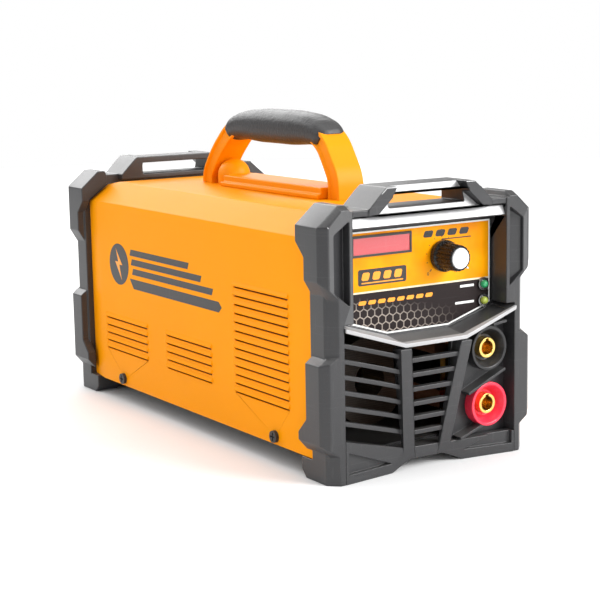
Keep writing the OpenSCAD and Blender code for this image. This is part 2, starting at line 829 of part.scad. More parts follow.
module cover() {
    color("orange") from_front() difference() {
        union() {
            difference() {
                cover_volume(0, 0);
                cover_volume(sheet_t, 1);
                block([-half_w, 0, ground_gap - 1], [half_w, case_l, ground_gap - eps]);
                block([-cover_x + sheet_t + taper_in, 0, ground_gap - 1],
                      [cover_x - sheet_t - taper_in, case_l, ground_gap + 3]);
            }
            both_sides() louvres(false);
        }
        both_sides() {
            louvres(true);
            for (y = cover_screw_y) translate([cover_x, y, cover_screw_z]) rotate([0, 90, 0])
                translate([0, 0, -5]) cylinder(d = screw_d + 2 * fit, h = 10);
        }
        for (y = handle_screw_y) translate([0, y, cover_top_z - 5]) cylinder(d = 5 + 2 * fit, h = 10);
    }
}

module cover_screws() {
    color("#202020") from_front() both_sides() for (y = cover_screw_y)
        translate([cover_x + 0.6 * screw_d, y, cover_screw_z]) rotate([0, 0, 90]) screw_y(screw_d, 7);
}

// A shallow tray that closes the case and carries the electronics
module base_pan() {
    wall_x = cover_x - sheet_t;
    color("#9a9a98") from_front() difference() {
        union() {
            block([-wall_x + taper_in, frame_d, ground_gap], [wall_x - taper_in, case_l - frame_d, pan_z]);
            both_sides() block([wall_x - taper_in - eps, frame_d, ground_gap],
                               [wall_x, frame_d + cover_l - taper_l - 3, pan_z]);
            both_sides() block([wall_x - sheet_t, frame_d + 15, ground_gap],
                               [wall_x, frame_d + cover_l - taper_l - 3, ground_gap + 12]);
        }
        for (end = [0, 1]) translate([0, case_l / 2, 0]) mirror([0, end, 0]) translate([0, -case_l / 2, 0])
            both_sides() translate([half_w - 28, foot_l - 7, 0]) cylinder(d = screw_d, h = 40);
        both_sides() for (y = cover_screw_y) translate([cover_x - 6, y, cover_screw_z]) rotate([0, 90, 0])
            cylinder(d = screw_d, h = 10);
        for (p = standoff_at) translate([p[0], p[1], 0]) cylinder(d = 4, h = 40);
    }
}

module rating_plate() {
    color("silver") from_front() block([-30, case_l / 2 - 20, ground_gap - 0.5], [30, case_l / 2 + 20, ground_gap]);
}

// ---------- handle ----------

handle_screw_y = [leg_front_y + leg_t / 2, leg_rear_y - leg_t / 2 - 3];

// Side outline of the legs and the bar that joins them inside the grip
module handle_outline() {
    polygon([
        [leg_front_y, cover_top_z], [leg_front_y, leg_knee_z], [grip_y[0] - 1, grip_end_z - 1],
        [grip_y[0] + 10, handle_top_z - 11], [grip_mid_y, handle_top_z - 8], [grip_y[1] - 10, handle_top_z - 11],
        [grip_y[1] + 1, grip_end_z - 1], [grip_y[1] + 14, grip_end_z - 10], [leg_rear_y - 9, leg_knee_z + 9],
        [leg_rear_y, leg_knee_z - 7], [leg_rear_y, cover_top_z],
        [leg_rear_y - leg_t, cover_top_z], [leg_rear_y - leg_t, leg_knee_z - 7],
        [grip_y[1] - 8, grip_low_z + 4], [grip_y[1] - 14, grip_low_z + 8], [grip_y[0] + 14, grip_low_z + 8],
        [grip_y[0] + 7, grip_low_z + 3], [leg_front_y + leg_t, leg_knee_z], [leg_front_y + leg_t, cover_top_z]
    ]);
}

// Side outline of the soft grip
module grip_outline() {
    polygon([
        [grip_y[0], grip_end_z - 1], [grip_y[0] + 5, grip_end_z + 2.5], [grip_y[0] + 15, grip_end_z + 7.5],
        [grip_y[0] + 32, grip_end_z + 11.5], [grip_mid_y, handle_top_z], [grip_y[1] - 32, grip_end_z + 12],
        [grip_y[1] - 14, grip_end_z + 8.5], [grip_y[1] - 5, grip_end_z + 4], [grip_y[1], grip_end_z - 1],
        [grip_y[1] - 6, grip_low_z + 3.5], [grip_y[1] - 18, grip_low_z + 1.5], [grip_mid_y, grip_low_z],
        [grip_y[0] + 20, grip_low_z + 1], [grip_y[0] + 8, grip_low_z + 3.5]
    ]);
}

module handle_frame() {
    color("orange") from_front() difference() {
        intersection() {
            side_view(-leg_w / 2, leg_w) handle_outline();
            union() {
                block([-leg_w / 2, 0, 0], [leg_w / 2, case_l, grip_low_z + 3.5]);
                side_view(-leg_w / 2, leg_w) difference() {
                    handle_outline();
                    grip_outline();
                }
                side_view(-leg_w / 3, leg_w * 2 / 3) handle_outline();
            }
        }
        for (y = handle_screw_y) translate([0, y, cover_top_z - 1]) cylinder(d = 5, h = 10);
    }
}

module handle_grip() {
    color("#2a2a2a") from_front() difference() {
        hull() {
            side_view(-grip_w / 4, grip_w / 2) grip_outline();
            side_view(-grip_w / 2, grip_w) offset(delta = -6) grip_outline();
        }
        hull() side_view(-leg_w / 3, leg_w * 2 / 3) handle_bar_outline();
        handle_clear();
    }
}

// The bar inside the grip
module handle_bar_outline() {
    intersection() {
        handle_outline();
        grip_outline();
    }
}

// Room that the legs need at the grip's ends
module handle_clear() {
    side_view(-leg_w / 2 - 3, leg_w + 6) difference() {
        handle_outline();
        grip_outline();
    }
}

// The stepped plinth between the legs, with a round boss near the rear leg
module handle_plinth() {
    color("orange") from_front() difference() {
        union() {
            block([-17, plinth_y[0], cover_top_z], [17, plinth_y[1], cover_top_z + 3.3]);
            block([-14, plinth_y[0], cover_top_z + 3.3 - eps], [14, plinth_y[1], cover_top_z + 7.8]);
            translate([0, dome_y, cover_top_z]) cylinder(r = dome_r, h = 7);
            translate([0, dome_y, cover_top_z + 7]) difference() {
                sphere(r = dome_r);
                block([-dome_r, -dome_r, -dome_r] * 1.1, [dome_r * 1.1, dome_r * 1.1, -eps]);
            }
        }
        side_view(-leg_w, 2 * leg_w) handle_outline();
    }
}

module handle_screws() {
    color("silver") from_front() for (y = handle_screw_y)
        translate([0, y, cover_top_z - sheet_t - 3]) rotate([90, 0, 0]) screw_y(5, 9);
}

// ---------- rear ----------

module rear_panel() {
    color("#2c2c2c") from_rear() difference() {
        front_view(panel_y, rear_t) polygon([
            [-opening_low_x, ground_gap], [-opening_low_x, step_z], [-opening_top_x, step_z],
            [-opening_top_x, opening_top_z], [opening_top_x, opening_top_z], [opening_top_x, step_z],
            [opening_low_x, step_z], [opening_low_x, ground_gap]
        ]);
        translate([0, 0, fan_z]) rod_y(fan_bore_d, panel_y - 1, 4);
        for (x = [-1, 1], z = [-1, 1]) translate([x * fan_pitch / 2, 0, fan_z + z * fan_pitch / 2])
            rod_y(screw_d + 2 * fit, panel_y - 1, 4);
        translate([gland_x, 0, rear_row_z]) rod_y(gland_thread_d + 2 * fit, panel_y - 1, 4);
        translate([earth_x, 0, rear_row_z]) rod_y(5 + 2 * fit, panel_y - 1, 4);
        for (x = [-1, 1], z = panel_screw_z)
            translate([x * panel_screw_x, 0, z]) rod_y(2.5 + fit, panel_y - 1, 4);
        block([switch_x - switch_w / 2 - fit, panel_y - 1, rear_row_z - switch_h / 2 - fit],
              [switch_x + switch_w / 2 + fit, panel_y + 3, rear_row_z + switch_h / 2 + fit]);
    }
}

fan_y = panel_y + rear_t;

module fan_housing() {
    color("#1c1c1c") from_rear() translate([0, 0, fan_z]) {
        difference() {
            block([-fan_size / 2, fan_y, -fan_size / 2], [fan_size / 2, fan_y + fan_d, fan_size / 2]);
            rod_y(fan_bore_d, fan_y - 1, fan_d + 2);
            for (a = [0 : 90 : 270]) rotate([0, a, 0]) {
                translate([fan_pitch / 2, 0, fan_pitch / 2]) rod_y(screw_d, fan_y - 1, fan_d + 2);
                // waists between the two flanges
                translate([fan_size / 2, 0, 0]) block([-2, fan_y + 4, -fan_size * 0.36], [2, fan_y + fan_d - 4, fan_size * 0.36]);
            }
        }
        // stator cup on four struts, with the bearing in its middle
        difference() {
            union() {
                rod_y(hub_d, fan_y + fan_d - 4, 4);
                rod_y(10, fan_y + 9, fan_d - 10);
                for (a = [45 : 90 : 315]) rotate([0, a, 0])
                    block([hub_d / 2 - 2, fan_y + fan_d - 4, -2], [fan_bore_d / 2 + 1.5, fan_y + fan_d, 2]);
            }
            rod_y(4.1, fan_y, fan_d - 2);
        }
    }
}

// Hub cup, shaft and seven pitched blades
module fan_rotor() {
    color("#242424") from_rear() translate([0, 0, fan_z]) {
        difference() {
            rod_y(hub_d, fan_y + 1.5, fan_d - 6.5);
            rod_y(hub_d - 4, fan_y + 3.5, fan_d);
        }
        rod_y(4, fan_y + 3, fan_d - 7);
        intersection() {
            for (i = [0 : 6]) rotate([0, i * 360 / 7, 0]) translate([0, fan_y + fan_d / 2 - 2, 0])
                rotate([38, 0, 0]) block([hub_d / 2 - 1.5, -0.8, -12], [fan_bore_d / 2 + 4, 0.8, 12]);
            difference() {
                rod_y(fan_bore_d - 3, fan_y + 1.5, fan_d - 7);
                rod_y(hub_d - 3, fan_y, fan_d);
            }
        }
    }
}

// Wire guard outside the panel: rings on a cross of wires, with an eye at each screw
module fan_guard() {
    wire = 1.6;
    color("silver") from_rear() translate([0, panel_y - wire / 2, fan_z]) {
        for (r = [10 : 9.5 : fan_bore_d / 2 - 2]) rotate([90, 0, 0]) rotate_extrude() translate([r, 0]) circle(d = wire, $fn = 24);
        for (a = [45, 135]) rotate([0, a, 0]) translate([-fan_pitch * 0.7071 + 4.1, -wire, 0])
            rotate([0, 90, 0]) cylinder(d = wire, h = 2 * fan_pitch * 0.7071 - 8.2, $fn = 24);
        for (x = [-1, 1], z = [-1, 1]) translate([x * fan_pitch / 2, 0, z * fan_pitch / 2])
            rotate([90, 0, 0]) rotate_extrude() translate([3.4, 0]) circle(d = wire, $fn = 24);
    }
}

module fan_screws() {
    color("silver") from_rear() for (x = [-1, 1], z = [-1, 1])
        translate([x * fan_pitch / 2, panel_y - 1.6 - 0.6 * screw_d, fan_z + z * fan_pitch / 2]) screw_y(screw_d, 16);
}

// Rocker switch: a snap-in body and a rocker tilted about the X axis
rocker_y = panel_y - 1.2;

module switch_body() {
    color("#181818") from_rear() translate([switch_x, 0, rear_row_z]) difference() {
        union() {
            block([-switch_w / 2, panel_y, -switch_h / 2], [switch_w / 2, panel_y + 20, switch_h / 2]);
            block([-switch_w / 2 - 2, panel_y - 2, -switch_h / 2 - 2], [switch_w / 2 + 2, panel_y, switch_h / 2 + 2]);
            for (x = [-8, 0, 8]) block([x - 0.4, panel_y + 20, -3], [x + 0.4, panel_y + 28, 3]);
        }
        block([-switch_w / 2 + 2.5, panel_y - 3, -switch_h / 2 + 2], [switch_w / 2 - 2.5, panel_y + 12, switch_h / 2 - 2]);
        translate([0, rocker_y + 3, 0]) rotate([0, 90, 0]) cylinder(d = 3.1, h = switch_w - 1, center = true);
    }
}

// Rocker outline: two flats that meet at the pivot line, seen from the side (y, z)
module switch_rocker() {
    w = switch_w - 5 - 2 * 0.3;
    color("#b01818") from_rear() translate([switch_x, rocker_y + 3, rear_row_z]) rotate([-rocker_tilt / 2, 0, 0]) {
        side_view(-w / 2, w) intersection() {
            circle(r = switch_h / 2 - 2.4);
            polygon([[-6.4, -10], [-4.6, 0], [-6.4, 10], [3.6, 10], [3.6, -10]]);
        }
        rotate([0, 90, 0]) cylinder(d = 3, h = switch_w - 1.6, center = true);
    }
}

// Cable gland: body through the panel, rubber seal, clamp nut outside, locknut inside
module gland_body() {
    color("#202020") from_rear() translate([gland_x, 0, rear_row_z]) difference() {
        union() {
            rod_y(gland_thread_d, panel_y - 9, 21);
            translate([0, panel_y, 0]) rotate([90, 0, 0]) cylinder(d = 27, h = 4, $fn = 6);
        }
        rod_y(gland_bore_d, panel_y - 10, 30);
    }
}

module gland_seal() {
    color("#101010") from_rear() translate([gland_x, 0, rear_row_z]) difference() {
        rod_y(gland_bore_d, panel_y - 9, 10);
        rod_y(cable_bore_d, panel_y - 10, 20);
    }
}

module gland_nut() {
    color("#202020") from_rear() translate([gland_x, 0, rear_row_z]) difference() {
        union() {
            translate([0, panel_y - 4, 0]) rotate([90, 0, 0]) cylinder(d = 26, h = 8, $fn = 6);
            translate([0, panel_y - 12, 0]) rotate([90, 0, 0]) cylinder(d1 = 22, d2 = 16, h = panel_y - 12 + reach);
        }
        rod_y(gland_thread_d, panel_y - 9, 20);
        rod_y(cable_bore_d + 1, -reach - 1, 40);
    }
}

module gland_locknut() {
    color("#202020") from_rear() translate([gland_x, 0, rear_row_z]) difference() {
        translate([0, panel_y + rear_t + 5, 0]) rotate([90, 0, 0]) cylinder(d = 27, h = 5, $fn = 6);
        rod_y(gland_thread_d, 0, 50);
    }
}

module earth_screw() {
    color("#c8a040") from_rear() translate([earth_x, panel_y - 3, rear_row_z]) screw_y(5, 12);
}

// ---------- power electronics ----------

heatsink_y = 190;
heatsink_l = 108;
heatsink_z = pan_z + 5;
heatsink_h = board_z - 6 - heatsink_z;
choke_y = 82;
board_x = 64;
board_span = [56, heatsink_y + heatsink_l + 8];
standoff_at = [for (x = [-58, 58], y = [62, 150, board_span[1] - 4]) [x, y]];

module main_board() {
    color("#1f5a34") from_front() difference() {
        block([-board_x, board_span[0], board_z], [board_x, board_span[1], board_z + board_t]);
        for (p = standoff_at) translate([p[0], p[1], board_z - 1]) cylinder(d = 4, h = 4);
    }
}

module board_standoffs() {
    color("white") from_front() for (p = standoff_at) translate([p[0], p[1], 0]) {
        translate([0, 0, pan_z]) cylinder(d = 7, h = board_z - pan_z, $fn = 6);
        translate([0, 0, ground_gap]) cylinder(d = 4, h = sheet_t);
        translate([0, 0, board_z]) cylinder(d = 4, h = 4);
    }
}

module heatsink_rails() {
    color("#303030") from_front() both_sides() for (x = [10, 40])
        block([x, heatsink_y, pan_z], [x + 10, heatsink_y + heatsink_l, heatsink_z]);
}

// A finned extrusion: a plate on top with fins hanging into the air tunnel
module heatsink() {
    count = 8;
    pitch = (board_x - 12 - 3 - 2) / (count - 1);
    front_view(heatsink_y, heatsink_l) {
        translate([3, heatsink_z + heatsink_h - 6]) square([board_x - 12 - 3, 6]);
        for (i = [0 : count - 1]) translate([3 + i * pitch, heatsink_z]) square([2, heatsink_h - 6 + eps]);
    }
}

module transistor_heatsink() {
    color("silver") from_front() mirror([1, 0, 0]) heatsink();
}

module diode_heatsink() {
    color("silver") from_front() heatsink();
}

// A row of flat power packages on top of a heatsink, legs turned up to the board
module power_packages() {
    for (i = [0 : 3]) translate([16, heatsink_y + 8 + i * 25, heatsink_z + heatsink_h]) {
        block([0, 0, 0], [20, 16, 5]);
        for (y = [2.5, 8, 13.5]) block([20 - eps, y - 0.6, 2.2], [24, y + 0.6, 3]);
        for (y = [2.5, 8, 13.5]) block([23.2, y - 0.6, 2.2], [24, y + 0.6, 6]);
    }
}

module transistors() {
    color("#202020") from_front() mirror([1, 0, 0]) power_packages();
}

module output_diodes() {
    color("#202020") from_front() power_packages();
}

module bulk_capacitors() {
    color("#28406a") from_front() for (y = [120, 156, 192]) translate([-34, y, board_z + board_t]) cylinder(d = 32, h = 44);
}

module bridge_rectifier() {
    color("#202020") from_front() block([10, 240, board_z + board_t], [45, 275, board_z + board_t + 10]);
}

module soft_start_relay() {
    color("#2858a0") from_front() block([-40, 232, board_z + board_t], [-12, 262, board_z + board_t + 22]);
}

// Transformer standing on the pan in front of the heatsinks
module transformer_core() {
    color("#303030") from_front() difference() {
        block([-45, 140, pan_z], [15, 168, pan_z + 56]);
        block([-37, 139, pan_z + 12], [-23, 169, pan_z + 44]);
        block([-7, 139, pan_z + 12], [7, 169, pan_z + 44]);
    }
}

module transformer_windings() {
    color("#a06030") from_front() difference() {
        block([-36, 131, pan_z + 13], [6, 177, pan_z + 43]);
        block([-23, 140, pan_z], [-7, 168, pan_z + 80]);
    }
}

// Output choke: a wound ring standing across the case
module output_choke() {
    color("#a06030") from_front() translate([0, choke_y, pan_z + 30]) rotate([90, 0, 0]) difference() {
        cylinder(d = 60, h = 26, center = true);
        cylinder(d = 24, h = 30, center = true);
    }
}

front_frame();
rear_frame();
front_grille();
front_fascia();
panel_screws();
control_label();
display_window();
display_module();
knob();
knob_cap();
pot_shaft();
pot_body();
pot_nut();
led_bezels();
power_lamp();
overheat_lamp();
control_board();
control_board_screws();
negative_socket_shell();
positive_socket_shell();
negative_contact();
positive_contact();
socket_locknuts();
contact_bolts();
negative_busbar();
positive_busbar();
cover();
cover_screws();
base_pan();
frame_screws();
handle_frame();
handle_grip();
handle_plinth();
handle_screws();
rear_panel();
fan_housing();
fan_rotor();
fan_guard();
fan_screws();
switch_body();
switch_rocker();
gland_body();
gland_seal();
gland_nut();
gland_locknut();
earth_screw();
rating_plate();
main_board();
board_standoffs();
heatsink_rails();
transistor_heatsink();
diode_heatsink();
transistors();
output_diodes();
bulk_capacitors();
bridge_rectifier();
soft_start_relay();
transformer_core();
transformer_windings();
output_choke();
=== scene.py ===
"""Looks of a stick welding inverter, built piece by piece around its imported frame.

Lengths in the dataclasses are millimetres, measured as on a drawing of the machine: x from its middle,
y from the rim of the control panel towards the rear, z from the feet. Meshes are in metres.
"""

import logging
import math
from collections.abc import Callable, Iterable, Sequence
from dataclasses import dataclass, field
from enum import Enum

import bmesh
import bpy
from mathutils import Matrix, Vector


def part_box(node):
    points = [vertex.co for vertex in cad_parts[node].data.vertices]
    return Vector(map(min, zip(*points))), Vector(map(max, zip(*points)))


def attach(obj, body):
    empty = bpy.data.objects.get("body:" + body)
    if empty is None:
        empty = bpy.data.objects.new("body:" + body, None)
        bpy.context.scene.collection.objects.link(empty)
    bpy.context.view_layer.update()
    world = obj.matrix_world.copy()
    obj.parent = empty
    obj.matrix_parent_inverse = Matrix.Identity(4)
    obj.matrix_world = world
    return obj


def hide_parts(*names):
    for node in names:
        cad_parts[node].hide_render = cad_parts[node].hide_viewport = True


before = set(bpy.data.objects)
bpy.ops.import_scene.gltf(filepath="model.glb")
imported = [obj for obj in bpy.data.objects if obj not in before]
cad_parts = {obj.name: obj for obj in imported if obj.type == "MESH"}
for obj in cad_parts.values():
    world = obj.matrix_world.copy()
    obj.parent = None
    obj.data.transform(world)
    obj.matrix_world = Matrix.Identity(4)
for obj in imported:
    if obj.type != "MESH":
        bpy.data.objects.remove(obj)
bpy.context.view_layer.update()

MM = 0.001
LOG = logging.getLogger("welding_inverter")
Colour = tuple[float, float, float]
Point = tuple[float, float]


# ---------------------------------------------------------------- shader groups and fields


class Field:
    """A value that changes over a surface, with the shader's arithmetic behind plain operators."""

    def __init__(self, tree: bpy.types.NodeTree, socket: bpy.types.NodeSocket) -> None:
        """Wraps one output socket.

        Args:
            tree: The node tree that the arithmetic nodes are added to.
            socket: The output socket that carries the value.
        """
        self.tree = tree
        self.socket = socket

    def run(self, operation: str, *others: "Field | float") -> "Field":
        """Adds one Math node that takes this value first.

        Args:
            operation: The Math node's operation name.
            others: The values for its other inputs.

        Returns:
            The node's result.
        """
        node = self.tree.nodes.new("ShaderNodeMath")
        node.operation = operation
        self.tree.links.new(self.socket, node.inputs[0])
        for slot, other in enumerate(others, start=1):
            if isinstance(other, Field):
                self.tree.links.new(other.socket, node.inputs[slot])
            else:
                node.inputs[slot].default_value = other
        return Field(self.tree, node.outputs[0])

    def __add__(self, other: "Field | float") -> "Field":
        """Adds a value."""
        return self.run("ADD", other)

    def __sub__(self, other: "Field | float") -> "Field":
        """Takes a value away."""
        return self.run("SUBTRACT", other)

    def __mul__(self, other: "Field | float") -> "Field":
        """Multiplies by a value; on two masks this is their overlap."""
        return self.run("MULTIPLY", other)

    def __truediv__(self, other: "Field | float") -> "Field":
        """Divides by a value."""
        return self.run("DIVIDE", other)

    def __or__(self, other: "Field") -> "Field":
        """Joins two masks."""
        return self.run("MAXIMUM", other)

    def __invert__(self) -> "Field":
        """Turns a mask inside out."""
        return self.run("MULTIPLY_ADD", -1.0, 1.0)

    def __lt__(self, other: "Field | float") -> "Field":
        """Masks where this value is the smaller."""
        return self.run("LESS_THAN", other)

    def __gt__(self, other: "Field | float") -> "Field":
        """Masks where this value is the larger."""
        return self.run("GREATER_THAN", other)

    def size(self) -> "Field":
        """Drops the sign."""
        return self.run("ABSOLUTE")

    def wrapped(self, period: "Field | float") -> "Field":
        """Repeats the value every period, measured from the middle of its cell."""
        return self.run("FLOORED_MODULO", period) - (
            period * 0.5 if isinstance(period, Field) else period / 2
        )


class Graph:
    """A node tree being drawn, with short calls for the nodes that the finishes use."""

    def __init__(self, tree: bpy.types.NodeTree) -> None:
        """Starts on an empty tree.

        Args:
            tree: The material's tree or a group's tree.
        """
        self.tree = tree
        tree.nodes.clear()

    def add(self, kind: str, **settings: object) -> bpy.types.Node:
        """Adds a node and sets its own properties.

        Args:
            kind: The node type without its ShaderNode prefix.
            settings: Properties of the node, by name.

        Returns:
            The new node.
        """
        node = self.tree.nodes.new("ShaderNode" + kind)
        for name, value in settings.items():
            setattr(node, name, value)
        return node

    def join(self, source: "bpy.types.NodeSocket | Field", target: bpy.types.NodeSocket) -> None:
        """Links an output, or a field, to an input."""
        self.tree.links.new(source.socket if isinstance(source, Field) else source, target)

    def place(self) -> tuple[Field, Field, Field]:
        """Returns the point's x, y and z in metres, as fields."""
        split = self.add("SeparateXYZ")
        self.join(self.add("TexCoord").outputs["Object"], split.inputs[0])
        return tuple(Field(self.tree, split.outputs[axis]) for axis in range(3))

    def noise(self, scale: float, detail: float = 3.0, stretch: Sequence[float] = (1, 1, 1)) -> Field:
        """Adds smooth noise over the object.

        Args:
            scale: Waves per metre.
            detail: Number of finer octaves.
            stretch: Scale of each axis, for grain that runs one way.

        Returns:
            The noise, mostly between 0.3 and 0.7.
        """
        mapping = self.add("Mapping")
        mapping.inputs["Scale"].default_value = stretch
        self.join(self.add("TexCoord").outputs["Object"], mapping.inputs["Vector"])
        node = self.add("TexNoise")
        node.inputs["Scale"].default_value = scale
        node.inputs["Detail"].default_value = detail
        self.join(mapping.outputs[0], node.inputs["Vector"])
        return Field(self.tree, node.outputs[0])

    def blend(self, amount: Field, low: "Colour | Field", high: "Colour | Field") -> Field:
        """Mixes two colours.

        Args:
            amount: 0 gives the low colour and 1 the high one.
            low: A colour, or a field that carries one.
            high: The same.

        Returns:
            The mixed colour.
        """
        node = self.add("Mix", data_type="RGBA", clamp_factor=True)
        self.join(amount, node.inputs[0])
        for value, socket in ((low, node.inputs[6]), (high, node.inputs[7])):
            if isinstance(value, Field):
                self.join(value, socket)
            else:
                socket.default_value = (*value, 1.0)
        return Field(self.tree, node.outputs[2])

    def spread(self, value: Field, low: float, high: float) -> Field:
        """Stretches low..high of a value to a mask of 0..1."""
        node = self.add("MapRange", clamp=True)
        node.inputs["From Min"].default_value = low
        node.inputs["From Max"].default_value = high
        self.join(value, node.inputs["Value"])
        return Field(self.tree, node.outputs[0])


class Effect(Enum):
    """The effects that several finishes share, by the names of their node groups."""

    EDGE_WEAR = "Edge wear"
    MOULD_GRAIN = "Mould grain"
    DUST = "Settled dust"
    SCRATCHES = "Fine scratches"
    HONEYCOMB = "Honeycomb"


class EffectLibrary:
    """Builds each shared effect once, as a shader node group with named inputs and outputs."""

    def __init__(self) -> None:
        """Starts with no groups built."""
        self.built: dict[Effect, bpy.types.NodeTree] = {}
        self.recipes: dict[Effect, Callable[[], bpy.types.NodeTree]] = {
            Effect.EDGE_WEAR: self.edge_wear,
            Effect.MOULD_GRAIN: self.mould_grain,
            Effect.DUST: self.dust,
            Effect.SCRATCHES: self.scratches,
            Effect.HONEYCOMB: self.honeycomb,
        }

    def use(self, graph: Graph, effect: Effect, **values: float) -> bpy.types.Node:
        """Places an effect in a material.

        Args:
            graph: The material's graph.
            effect: The effect to place.
            values: The group's inputs, with underscores for the spaces in their names.

        Returns:
            The group node.
        """
        if effect not in self.built:
            self.built[effect] = self.recipes[effect]()
        node = graph.add("Group")
        node.node_tree = self.built[effect]
        for name, value in values.items():
            node.inputs[name.replace("_", " ")].default_value = value
        return node

    @staticmethod
    def start(
        effect: Effect, inputs: dict[str, float], outputs: Iterable[str]
    ) -> tuple[Graph, dict[str, Field], bpy.types.Node]:
        """Opens a new group.

        Args:
            effect: The effect whose name the group takes.
            inputs: Input names with their default values.
            outputs: Output names.

        Returns:
            The graph, the inputs as fields, and the group's output node.
        """
        tree = bpy.data.node_groups.new(effect.value, "ShaderNodeTree")
        for name, value in inputs.items():
            socket = tree.interface.new_socket(name, in_out="INPUT", socket_type="NodeSocketFloat")
            socket.default_value = value
        for name in outputs:
            tree.interface.new_socket(name, in_out="OUTPUT", socket_type="NodeSocketFloat")
        graph = Graph(tree)
        entry = tree.nodes.new("NodeGroupInput")
        fields = {name: Field(tree, entry.outputs[name]) for name in inputs}
        return graph, fields, tree.nodes.new("NodeGroupOutput")

    def edge_wear(self) -> bpy.types.NodeTree:
        """Rubbed edges: where a rounded normal leaves the true one, broken up by noise."""
        graph, given, end = self.start(Effect.EDGE_WEAR, {"Radius": 0.0008, "Amount": 0.5}, ("Wear",))
        rounded = graph.add("Bevel", samples=4)
        graph.join(given["Radius"], rounded.inputs["Radius"])
        dot = graph.add("VectorMath", operation="DOT_PRODUCT")
        graph.join(rounded.outputs["Normal"], dot.inputs[0])
        graph.join(graph.add("NewGeometry").outputs["Normal"], dot.inputs[1])
        bent = ~Field(graph.tree, dot.outputs["Value"])
        broken = graph.spread(graph.noise(160.0, 4.0), 0.38, 0.62)
        graph.join(graph.spread(bent, 0.02, 0.22) * broken * given["Amount"], end.inputs["Wear"])
        return graph.tree

    def mould_grain(self) -> bpy.types.NodeTree:
        """Spark-eroded mould texture: fine pits with a slow change in their depth."""
        graph, given, end = self.start(
            Effect.MOULD_GRAIN, {"Cells": 1600.0, "Depth": 1.0}, ("Height", "Fleck")
        )
        cells = graph.add("TexVoronoi", feature="SMOOTH_F1")
        graph.join(graph.add("TexCoord").outputs["Object"], cells.inputs["Vector"])
        graph.join(given["Cells"], cells.inputs["Scale"])
        pits = Field(graph.tree, cells.outputs["Distance"])
        slow = graph.noise(38.0, 3.0)
        graph.join(pits * given["Depth"] * (slow + 0.5), end.inputs["Height"])
        graph.join(graph.spread(pits * (slow + 0.5), 0.2, 0.8), end.inputs["Fleck"])
        return graph.tree

    def dust(self) -> bpy.types.NodeTree:
        """Dust that has settled on faces that look up, in soft patches."""
        graph, given, end = self.start(Effect.DUST, {"Amount": 0.2}, ("Dust",))
        split = graph.add("SeparateXYZ")
        graph.join(graph.add("NewGeometry").outputs["Normal"], split.inputs[0])
        up = graph.spread(Field(graph.tree, split.outputs[2]), 0.2, 1.0)
        patches = graph.spread(graph.noise(22.0, 5.0), 0.35, 0.7)
        specks = graph.spread(graph.noise(900.0, 2.0), 0.5, 0.7)
        graph.join(up * (patches + specks * 0.4) * given["Amount"], end.inputs["Dust"])
        return graph.tree

    def scratches(self) -> bpy.types.NodeTree:
        """Hair-thin handling marks that run two ways."""
        graph, given, end = self.start(Effect.SCRATCHES, {"Density": 0.5}, ("Scratch",))
        along = graph.spread(graph.noise(90.0, 6.0, (0.3, 0.3, 9.0)), 0.6, 0.66)
        across = graph.spread(graph.noise(110.0, 6.0, (6.0, 6.0, 0.5)), 0.62, 0.67)
        graph.join((along | across) * given["Density"], end.inputs["Scratch"])
        return graph.tree

    def honeycomb(self) -> bpy.types.NodeTree:
        """Lines of a honeycomb in the x-z plane, from the nearer of two staggered grids."""
        graph, given, end = self.start(Effect.HONEYCOMB, {"Pitch": 0.0053, "Line": 0.07}, ("Line Mask",))
        x, _, z = graph.place()
        across, up = x / given["Pitch"], z / given["Pitch"]
        grids = []
        for shift in (0.0, 0.5):
            gx = (across + shift).wrapped(1.0)
            gz = (up + shift * math.sqrt(3)).wrapped(math.sqrt(3))
            grids.append((gx, gz, (gx * gx + gz * gz)))
        first = grids[0][2] < grids[1][2]
        gx = (grids[0][0] * first + grids[1][0] * ~first).size()
        gz = (grids[0][1] * first + grids[1][1] * ~first).size()
        reach = gx.run("MAXIMUM", gx * 0.5 + gz * (math.sqrt(3) / 2))
        graph.join(reach > (~given["Line"]) * 0.5, end.inputs["Line Mask"])
        return graph.tree


EFFECTS = EffectLibrary()


# ---------------------------------------------------------------- finishes


